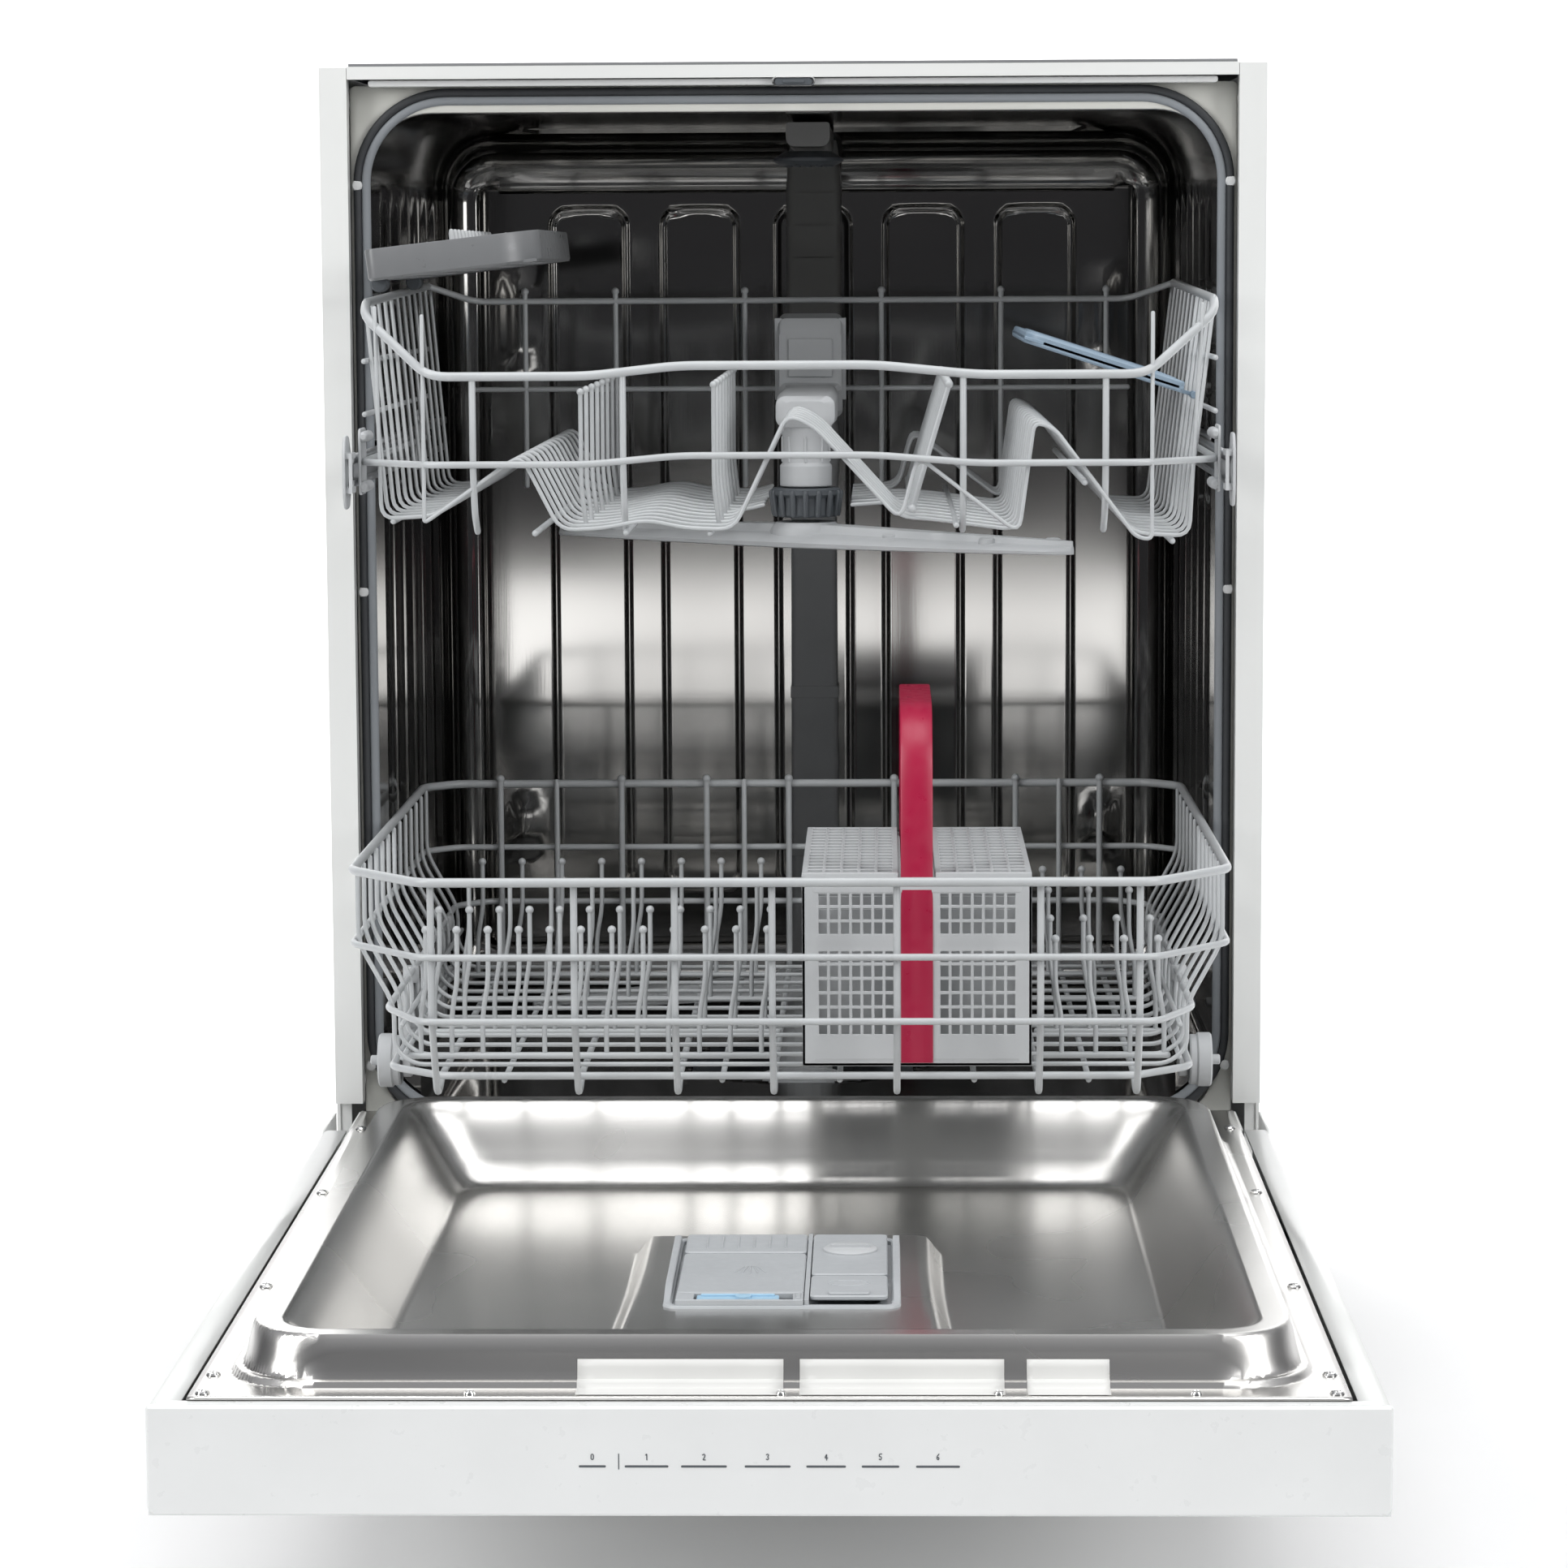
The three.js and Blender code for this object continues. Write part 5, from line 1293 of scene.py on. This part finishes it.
def upper_rack():
    low, high = box("upper_rack_frame")
    front, back = low[1] + 2.4, high[1] - 2.2
    base = low[2] + 2.6
    middle_z, front_z = base + 38, base + 90
    back_z, side_z = base + 130, base + 141
    wide, narrow = high[0] - 4.4, high[0] - 26
    build = Build()

    def front_line(z, half, lift):
        """A front wire that steps up by a few millimetres in its middle."""
        return [(-half, front, z), (-118, front, z), (-64, front, z + lift), (52, front, z + lift), (112, front, z), (half, front, z)]

    top = [(-wide, back - 28, side_z), (-wide, front + 76, side_z - 8), (-wide + 2, front + 52, side_z - 16)]
    top += front_line(front_z, FRONT_CORNER, 6)
    top += [(-x, y, z) for x, y, z in reversed(top[:3])]
    tube(build, fillet(top, 12, 5), 2.7, 12)
    tube(build, fillet([(-wide, back - 28, side_z), (-wide + 30, back, back_z), (wide - 30, back, back_z), (wide, back - 28, side_z)], 9, 5), 2.2, 10)
    line = [(-wide, back - 40, middle_z), (-wide, front + 46, middle_z)] + front_line(middle_z, FRONT_CORNER, 5)
    line += [(wide, front + 46, middle_z), (wide, back - 40, middle_z)]
    tube(build, fillet(line, 12, 5), 2.1, 10)
    tube(build, [(-wide + 30, back, back_z - 61), (wide - 30, back, back_z - 61)], 1.9, 8)
    for x in (-192, -129, -39, 56, 139, 212):
        tube(build, [(x, back, base + 2), (x, back, back_z + 5)], 1.9, 8, ball=2.7)

    manifold = box("feed_manifold")
    tines = box("folding_tines")
    tray = box("cup_tray")
    rows = np.linspace(front + 4, back - 14, 14)
    for y in rows:
        blocked = y > manifold[0][1] - 26
        reach = min(wide, FRONT_CORNER + (y - front) * 0.9)
        left = [(-wide, side_top(y, front, back, side_z)), (-245, base + 4), (-212, base + 6), (-158, base + 44), (-135, base - 1)]
        left += [(-110, base), (-84, base + 5), (-60, base)]
        left += [(-32, base - 1)]
        if blocked:
            tail = [(-20, base + 2)]
            head = [(manifold[1][0] + 8, base + 2), (67, base + 4)]
        else:
            tail = []
            head = [(0, base + 67), (16, base + 60), (67, base + 4)]
        ridge = [(77, base + 42)] if not (tines[0][1] - 6 < y < tines[1][1] + 6) else [(84, base + 3)]
        right = head + ridge + [(137, base - 4), (146, base + 62), (158, base + 58), (206, base - 6), (240, base - 8)]
        right += [(wide, side_top(y, front, back, side_z))]
        left = [(max(x, -reach), z) for x, z in left]
        right = [(min(x, reach), z) for x, z in right]
        if blocked:
            for part in (left + tail, right):
                tube(build, fillet([(x, y, z) for x, z in part], 9, 4), 1.25, 8)
        else:
            tube(build, fillet([(x, y, z) for x, z in left + right], 9, 4), 1.25, 8)
    for x, z in ((-238, base + 2.6), (-150, base - 3), (-96, base - 2.8), (-46, base - 3.2), (100, base + 1), (176, base + 26), (230, base - 11)):
        tube(build, [(x, front + (6 if abs(x) < 200 else 40), z), (x, back - 16, z)], 1.9, 8)
    for x in (-186, -97, 104, 188):
        path = [(x, front + 1, front_z), (x, front + 1, middle_z - 4), (x, front + 10, base + 8), (x, front + 26, base - 3)]
        tube(build, fillet(path, 8, 4), 2.0, 8)
    for x, reach, count in ((-122, 78, 8), (-42, 82, 8)):
        for y in np.linspace(front + 46, back - 62, count):
            path = [(x, y, base - 2), (x - 3, y, base + 22), (x - 3, y, base + reach)]
            tube(build, fillet(path, 7, 3), 1.4, 8, ball=2.3)
    for side in (-1, 1):
        for z in (base + 66, base + 98):
            x = side * (narrow + (wide - narrow) * min(1, (z - base) / 60))
            tube(build, [(x, front + 62, z), (x, back - 34, z)], 1.7, 8)
    mesh_piece("upper_rack_wires", build, WIRE_GREY, "upper_rack", ["upper_rack_frame"], smooth=60)
    clips = Build()
    for side in (-1, 1):
        for y in (front + 58, back - 92):
            x = side * (wide + 0.5)
            outline = rounded(y - 15, y + 15, middle_z - 20, middle_z + 20, 5, 5)
            prism(clips, outline, min(x, x + side * 1.6), max(x, x + side * 1.6), "x", 0.4)
            for dz in (-15, 15):
                tube(clips, [(x - side * 1.5, y - 12, middle_z + dz), (x - side * 1.5, y + 12, middle_z + dz)], 3.4, 10)
    mesh_piece("rail_runner_clips", clips, LIGHT_GREY, "upper_rack", [], smooth=35)


def side_top(y, front, back, side_z):
    """Height of the rack's top side wire at depth y."""
    t = min(1.0, max(0.0, (y - front) / 70))
    return side_z - 16 + 8 * t + 8 * (y - front) / (back - front)


def rack_rails():
    """Telescopic rails: the fixed member on the tub wall, the moving one, and its front stop clip."""
    for name, side in (("left", -1), ("right", 1)):
        low, high = box(f"tub_rail_{name}")
        outer, inner = (low[0], high[0]) if side < 0 else (high[0], low[0])
        fixed = Build()
        middle = (low[2] + high[2]) / 2
        half = (high[2] - low[2]) / 2
        section = [(inner, middle - half + 5), (inner, middle - half), (outer, middle - half), (outer, middle + half), (inner, middle + half), (inner, middle + half - 5)]
        path = fillet([(x, 0, z) for x, z in section], 1.8, 4)
        sheet_grid(fixed, np.array([[(p[0], y, p[2]) for p in path] for y in (low[1], high[1])]))
        piece = mesh_piece(f"fixed_rail_{name}", fixed, ZINC, "cabinet", [f"tub_rail_{name}"], smooth=40)
        solidify(piece, 0.9, 0)
        low, high = box(f"slide_rail_{name}")
        outer, inner = (low[0] + 0.6, high[0] - 0.6) if side < 0 else (high[0] - 0.6, low[0] + 0.6)
        moving = Build()
        middle = (low[2] + high[2]) / 2
        half = (high[2] - low[2]) / 2 - 0.6
        section = [(inner, middle - half + 4.5), (inner, middle - half), (outer, middle - half), (outer, middle + half), (inner, middle + half), (inner, middle + half - 4.5)]
        path = fillet([(x, 0, z) for x, z in section], 1.6, 4)
        sheet_grid(moving, np.array([[(p[0], y, p[2]) for p in path] for y in (low[1] + 3, high[1])]))
        solidify(mesh_piece(f"moving_rail_{name}", moving, ZINC, "upper_rails", [f"slide_rail_{name}"], smooth=40), 0.9, 0)
        clip = Build()
        end = low[1]
        outline = [(end - 2, middle - 22), (end + 14, middle - 22), (end + 26, middle - 8), (end + 26, middle + 8), (end + 14, middle + 22), (end - 2, middle + 22), (end - 8, middle + 12), (end - 8, middle - 12)]
        shape = [(p[0], p[1]) for p in fillet([(a, b, 0) for a, b in outline], 4, 4, True)]
        x_in, x_out = inner - side * 1.5, outer + side * 0.5
        hole = [(p[0], p[1]) for p in rounded(end, end + 10, middle - 5, middle + 5, 1, len(shape) // 4 - 1)]
        prism(clip, shape, min(x_out, x_out - side * 1.8), max(x_out, x_out - side * 1.8), "x", 0.5)
        block(clip, (min(x_in, x_out - side), end - 6, middle + 8.5), (max(x_in, x_out - side), end + 12, middle + 12))
        block(clip, (min(x_in, x_out - side), end - 6, middle - 12), (max(x_in, x_out - side), end + 12, middle - 8.5))
        block(clip, (min(x_in, x_in + side * 2), end - 8, middle - 12), (max(x_in, x_in + side * 2), end - 5, middle + 12))
        mesh_piece(f"rail_stop_clip_{name}", clip, LIGHT_GREY, "upper_rails", [], smooth=35)


def manifold():
    """Spray arm feed on the upper rack: inlet spigot, flat pipe and the column down to the nut."""
    low, high = box("feed_manifold")
    hub = box("spray_arm_nut")
    cx, cy = (hub[0][0] + hub[1][0]) / 2, (hub[0][1] + hub[1][1]) / 2
    build = Build()
    pipe = []
    for y, half, z0, z1 in [(cy - 22, 13, 646, 658), (cy - 18, 19, 641, 661), (cy + 60, 20, 640, 662), (high[1] - 34, 19, 640, 662), (high[1] - 30, 22, 640, 664)]:
        ring = rounded(cx - half, cx + half, z0, z1, min(6, half / 3), 5)
        pipe.append([(p[0], y, p[1]) for p in ring])
    loft(build, [list(reversed(ring)) for ring in pipe], caps=True)
    column = [(13.5, 602), (16.8, 603), (16.8, 616), (15, 618), (15, 634), (18, 645), (19, 650), (0, 650)]
    lathe(build, (cx, cy, 0), (0, 0, 1), column, 36)
    for angle in np.arange(8) * math.pi / 4:
        d = np.array((math.cos(angle), math.sin(angle), 0))
        tube(build, [np.array((cx, cy, 619.0)) + d * 15, np.array((cx, cy, 634.0)) + d * 15], 1.0, 6)
    mesh_piece("manifold_body", build, LIGHT_GREY, "upper_rack", ["feed_manifold"], smooth=35, bevel=0.4)
    mouth = Build()
    levels = [(high[1] - 30, 21.5, 641, 700), (high[1] - 26, 22, 640, 708), (high[1] - 6, 22, 640, 711), (high[1] - 2, 20, 642, 709)]
    rings = []
    for y, half, z0, z1 in levels:
        ring = rounded(cx - half, cx + half, z0, z1, 5, 6)
        rings.append([(p[0], y, p[1]) for p in reversed(ring)])
    loft(mouth, rings, caps=True)
    for side in (-1, 1):
        block(mouth, (cx + side * 22 - 2.5, high[1] - 26, 652), (cx + side * 22 + 2.5, high[1] - 6, 708))
    block(mouth, (cx - 15, high[1] - 31.5, 668), (cx + 15, high[1] - 29, 694))
    mesh_piece("manifold_inlet", mouth, LIGHT_GREY, "upper_rack", [], smooth=35, bevel=0.6)
    nut = Build()
    (x0, y0, z0), (x1, y1, z1) = hub
    radius = (x1 - x0) / 2
    lathe(nut, (cx, cy, 0), (0, 0, 1), [(0, z0), (radius - 6, z0), (radius - 4, z0 + 1.5), (radius - 4, z1 - 6), (radius - 1.5, z1 - 4), (radius - 1.5, z1 - 1), (radius - 3, z1), (0, z1)], 48)
    for k in range(16):
        angle = k * math.pi / 8
        d = np.array((math.cos(angle), math.sin(angle), 0))
        tube(nut, [np.array((cx, cy, z0 + 2)) + d * (radius - 3.6), np.array((cx, cy, z1 - 3)) + d * (radius - 1.8)], 1.9, 8)
    mesh_piece("spray_arm_ribbed_nut", nut, DARK_GREY, "upper_rack", ["spray_arm_nut"], smooth=35)


TRAY_WIDTH, TRAY_HEIGHT, TRAY_TILT = 104, 26, 6.5
SHELF_WIDTH, SHELF_TILT = 112, 18


def tilt(build, x, z, degrees):
    """Turns flat work about a hinge line that runs front to back, free end upwards for positive angles to the right."""
    angle = math.radians(degrees)
    across, up = math.cos(angle), math.sin(angle)
    build.verts = [
        (x + (v[0] - x) * across - (v[2] - z) * up, v[1], z + (v[0] - x) * up + (v[2] - z) * across)
        for v in build.verts
    ]


def cup_tray():
    """Fold-down tray, tipped up a little: deep raised edge round a slotted floor with rows of pegs."""
    (x0, y0, z0), (x1, y1, z1) = box("cup_tray")
    hinge = (x0, z0)
    x1, z1 = x0 + TRAY_WIDTH, z0 + TRAY_HEIGHT
    floor = z0 + 2
    tray = Build()
    ring = rounded(x0, x1, y0, y1, [6, 30, 30, 6], 8)
    rings = [(1.4, z0), (0, z0 + 1.5), (0, z1 - 8), (0.5, z1 - 7), (2.2, z1 - 7), (2.6, z1 - 8), (2.6, floor), (4, floor - 1)]
    loft(tray, [[(p[0], p[1], z) for p in inset_outline(ring, inset)] for inset, z in rings])
    xs = [x0 + 2]
    for k in range(5):
        step = (x1 - x0 - 14) / 5
        xs += [x0 + 7 + k * step + 2, x0 + 7 + (k + 1) * step - 2]
    xs += [x1 - 2]
    ys = [y0 + 8]
    for k in range(11):
        step = (y1 - y0 - 32) / 11
        ys += [y0 + 16 + k * step + 2, y0 + 16 + (k + 1) * step - 2]
    ys += [y1 - 8]
    plate_with_windows(tray, xs, ys, lambda i, j: not (i % 2 == 1 and j % 2 == 1), z0 + 0.2, floor)
    tilt(tray, *hinge, TRAY_TILT)
    mesh_piece("cup_tray_shell", tray, TRAY_GREY, "cup_tray_flap", ["cup_tray"], smooth=35)
    pegs = Build()
    for y in np.linspace(y0 + 20, y1 - 20, 12):
        lathe(pegs, (x0 + 52, y, floor), (0, 0, 1), [(2.4, -1), (2.0, 8), (1.8, z1 - floor - 3), (1.2, z1 - floor - 1), (0, z1 - floor - 0.4)], 12)
        block(pegs, (x1 - 6, y - 1, floor), (x1 - 3, y + 1, z1 - 9))
        for shift in (20, 36, 68, 84):
            peg = [(2.0, -1), (1.6, 6), (1.5, 13), (2.1, 15), (1.4, 17), (0, 17.6)]
            lathe(pegs, (x0 + shift, y + 6, floor), (0, 0, 1), peg, 10)
    tilt(pegs, *hinge, TRAY_TILT)
    mesh_piece("cup_tray_pegs", pegs, LIGHT_GREY, "cup_tray_flap", [], smooth=35)
    hooks = Build()
    for y in (y0 + 40, y1 - 60):
        lathe(hooks, (x0 + 3, y, z0 - 2), (0, 1, 0), [(0, -9), (4.2, -9), (5, -8), (5, 8), (4.2, 9), (0, 9)], 20)
    tilt(hooks, *hinge, TRAY_TILT)
    mesh_piece("cup_tray_hooks", hooks, DARK_GREY, "cup_tray_flap", [], smooth=35)


def cup_shelf():
    """Blue-grey lattice shelf with a stepped edge and grip bars."""
    (x0, y0, z0), (x1, y1, z1) = box("cup_shelf")
    hinge = (x1, z0)
    x0, z1 = x1 - SHELF_WIDTH, z0 + 4
    shelf = Build()
    for y in (y0 + 30, y1 - 30):
        lathe(shelf, (x1 - 2.2, y, z0), (0, 1, 0), [(0, -7), (2, -7), (2.4, -6), (2.4, 6), (2, 7), (0, 7)], 16)
        block(shelf, (x1 - 13, y - 4, z0 - 1.2), (x1 - 2.2, y + 4, z0 + 1.2))
    x1 -= 11
    xs = [x0]
    columns, rows = 8, 12
    step = (x1 - x0 - 12) / columns
    for k in range(columns):
        xs += [x0 + 6 + k * step + 1.2, x0 + 6 + (k + 1) * step - 1.2]
    xs += [x1]
    ys = [y0]
    step_y = (y1 - y0 - 12) / rows
    for k in range(rows):
        ys += [y0 + 6 + k * step_y + 1.3, y0 + 6 + (k + 1) * step_y - 1.3]
    ys += [y1]
    plate_with_windows(shelf, xs, ys, lambda i, j: not (i % 2 == 1 and j % 2 == 1), z0 + 1, z0 + 3)
    ring = rounded(x0, x1, y0, y1, [12, 3, 3, 12], 6)
    rings = [(0.8, z0 - 1), (0, z0), (0, z1 + 1), (0.8, z1 + 2), (2.2, z1 + 2), (2.8, z1 + 1), (2.8, z0 - 1)]
    loft(shelf, [[(p[0], p[1], z) for p in inset_outline(ring, inset)] for inset, z in rings])
    for y in np.linspace(y0 + 20, y1 - 20, 6):
        tube(shelf, [(x0 + 8, y, z1 + 1.2), (x1 - 6, y, z1 + 1.2)], 1.5, 8)
    for x in (x0 + 34, x0 + 68):
        tube(shelf, [(x, y0 + 6, z0 + 0.6), (x, y1 - 6, z0 + 0.6)], 1.6, 8)
    tilt(shelf, *hinge, -SHELF_TILT)
    mesh_piece("cup_shelf_lattice", shelf, BLUE_GREY, "cup_shelf_flap", ["cup_shelf"], smooth=35, bevel=0.25, segments=1)


def folding_tine_row():
    (x0, y0, z0), (x1, y1, z1) = box("folding_tines")
    build = Build()
    x, z = x0 + 2.5, z0 + 2.5
    tube(build, [(x, y0, z), (x, y1, z)], 2.5, 10)
    for y in np.linspace(y0 + 6, y1 - 6, 11):
        path = [(x, y, z), (x + 7, y, z + 24), (x1 - 3, y, z1 - 4)]
        tube(build, fillet(path, 8, 3), 1.8, 8, ball=2.7)
    mesh_piece("folding_tine_wires", build, WIRE_GREY, "tine_row", ["folding_tines"], smooth=60)


# ---------------------------------------------------------------- kept CAD nodes
def finish_cad_nodes():
    """CAD nodes whose shape is right keep it and get finished materials."""
    finishes = {
        "side_panel_left": WHITE, "side_panel_right": WHITE, "top_crossbar": WHITE,
        "top_sheet": ZINC, "back_sheet": ZINC, "base_tray": BLACK, "toe_kick": BLACK,
        "rear_counterweight": CAST, "sump": DARK_GREY, "wash_pump": BLACK, "drain_pump": DARK_GREY,
        "hinge_bracket_left": ZINC, "hinge_bracket_right": ZINC, "hinge_arm_left": ZINC, "hinge_arm_right": ZINC,
        "filter_screen": CHROME, "control_fascia": FASCIA_WHITE, "lower_arm_hub": LIGHT_GREY, "filter_cup": LIGHT_GREY,
    }
    for place in ("front", "rear"):
        for name in ("left", "right"):
            finishes[f"{place}_foot_{name}"] = BLACK
    for node, material in finishes.items():
        use_cad(node, material)


# ---------------------------------------------------------------- camera, floor and light
def make_camera():
    """Looks slightly down from in front, with the long lens the object is usually shown with."""
    data = bpy.data.cameras.new("camera")
    data.sensor_width = 36
    data.lens = 101.9
    data.clip_end = 50
    camera = bpy.data.objects.new("camera", data)
    bpy.context.scene.collection.objects.link(camera)
    tilt, pan, roll = math.radians(6.70), math.radians(-1.27), math.radians(-0.29)
    forward = Vector((math.sin(pan) * math.cos(tilt), math.cos(pan) * math.cos(tilt), -math.sin(tilt)))
    right = Vector((math.cos(pan), -math.sin(pan), 0))
    up = right.cross(forward)
    right, up = right * math.cos(roll) + up * math.sin(roll), -right * math.sin(roll) + up * math.cos(roll)
    turn = Matrix((right, up, -forward)).transposed().to_4x4()
    camera.matrix_world = Matrix.Translation((0.0554, FRONT * MM - 2.8258, 0.746)) @ turn
    bpy.context.scene.camera = camera
    bpy.context.scene.view_settings.view_transform = "Standard"


def make_stage():
    size, rise = 9.0, 5.0
    build = Build()
    rows = []
    profile = fillet([(0, -1.5, 0), (0, 3.2, 0), (0, 3.2, rise)], 1.2, 16)
    for x in (-size, size):
        rows.append([(x / MM, p[1] / MM, p[2] / MM - 0.5) for p in profile])
    sheet_grid(build, np.array(rows))
    material, nodes, links, shader = new_material("studio_paper", (0.86, 0.86, 0.86), 0.8)
    tone = spread(nodes, links, noise(nodes, links, 1.5), 0, 1)
    links.new(blend_colors(nodes, links, tone, (0.87, 0.87, 0.87), (0.85, 0.85, 0.85)), shader.inputs["Base Color"])
    mesh = bpy.data.meshes.new("studio_floor")
    mesh.from_pydata([tuple(c * MM for c in v) for v in build.verts], [], build.faces)
    mesh.materials.append(material)
    floor = bpy.data.objects.new("studio_floor", mesh)
    bpy.context.scene.collection.objects.link(floor)


def area_light(name, place, target, size, power, color=(1, 1, 1)):
    data = bpy.data.lights.new(name, "AREA")
    data.shape = "RECTANGLE"
    data.size, data.size_y = size
    data.energy = power
    data.color = color
    light = bpy.data.objects.new(name, data)
    bpy.context.scene.collection.objects.link(light)
    light.location = place
    light.rotation_euler = (Vector(target) - Vector(place)).to_track_quat("-Z", "Y").to_euler()


def make_lights():
    """Large soft lights at the sides and above; the room beyond them is dim, so that the steel has contrast."""
    middle = (0, 0.1, 0.45)
    area_light("key_left", (-2.4, -2.0, 1.9), middle, (1.3, 2.2), 58)
    area_light("key_right", (2.4, -2.0, 1.7), middle, (1.3, 2.2), 50)
    area_light("top_soft", (0, -0.6, 3.1), (0, 0.0, 0.4), (2.6, 2.0), 48)
    area_light("front_low", (0.0, -3.4, 0.12), (0, -0.3, 0.3), (1.3, 0.22), 3)
    area_light("backdrop", (0, 1.9, 2.6), (0, 3.2, 0.8), (4.0, 0.8), 95)
    world = bpy.data.worlds.new("studio")
    bpy.context.scene.world = world
    world.use_nodes = True
    nodes, links = world.node_tree.nodes, world.node_tree.links
    direction = nodes.new("ShaderNodeTexCoord")
    split = nodes.new("ShaderNodeSeparateXYZ")
    ramp = nodes.new("ShaderNodeValToRGB")
    ramp.color_ramp.elements[0].position = 0.0
    ramp.color_ramp.elements[0].color = (0.13, 0.13, 0.14, 1)
    ramp.color_ramp.elements[1].position = 0.75
    ramp.color_ramp.elements[1].color = (0.95, 0.96, 1.0, 1)
    links.new(direction.outputs["Generated"], split.inputs["Vector"])
    links.new(split.outputs["Z"], ramp.inputs["Fac"])
    links.new(ramp.outputs["Color"], nodes["Background"].inputs["Color"])
    nodes["Background"].inputs["Strength"].default_value = 0.42


make_camera()
make_stage()
make_lights()
finish_cad_nodes()
tub_walls()
tub_back()
tub_flange()
tub_ledges()
sump_mouth()
gasket()
cabinet_front()
cabinet_shell_details()
duct()
ceiling_head()
spray_arm("lower_spray_blade", "lower_spray_arm", "lower_arm", 24, 204, 0)
spray_arm("upper_spray_blade", "upper_spray_arm", "upper_arm", -36, 203, 1)
door_liner()
liner_labels()
door_box()
program_marks()
control_front()
dispenser()
lower_rack()
rack_wheels()
cutlery_basket()
upper_rack()
rack_rails()
manifold()
cup_tray()
cup_shelf()
folding_tine_row()

bpy.context.view_layer.update()
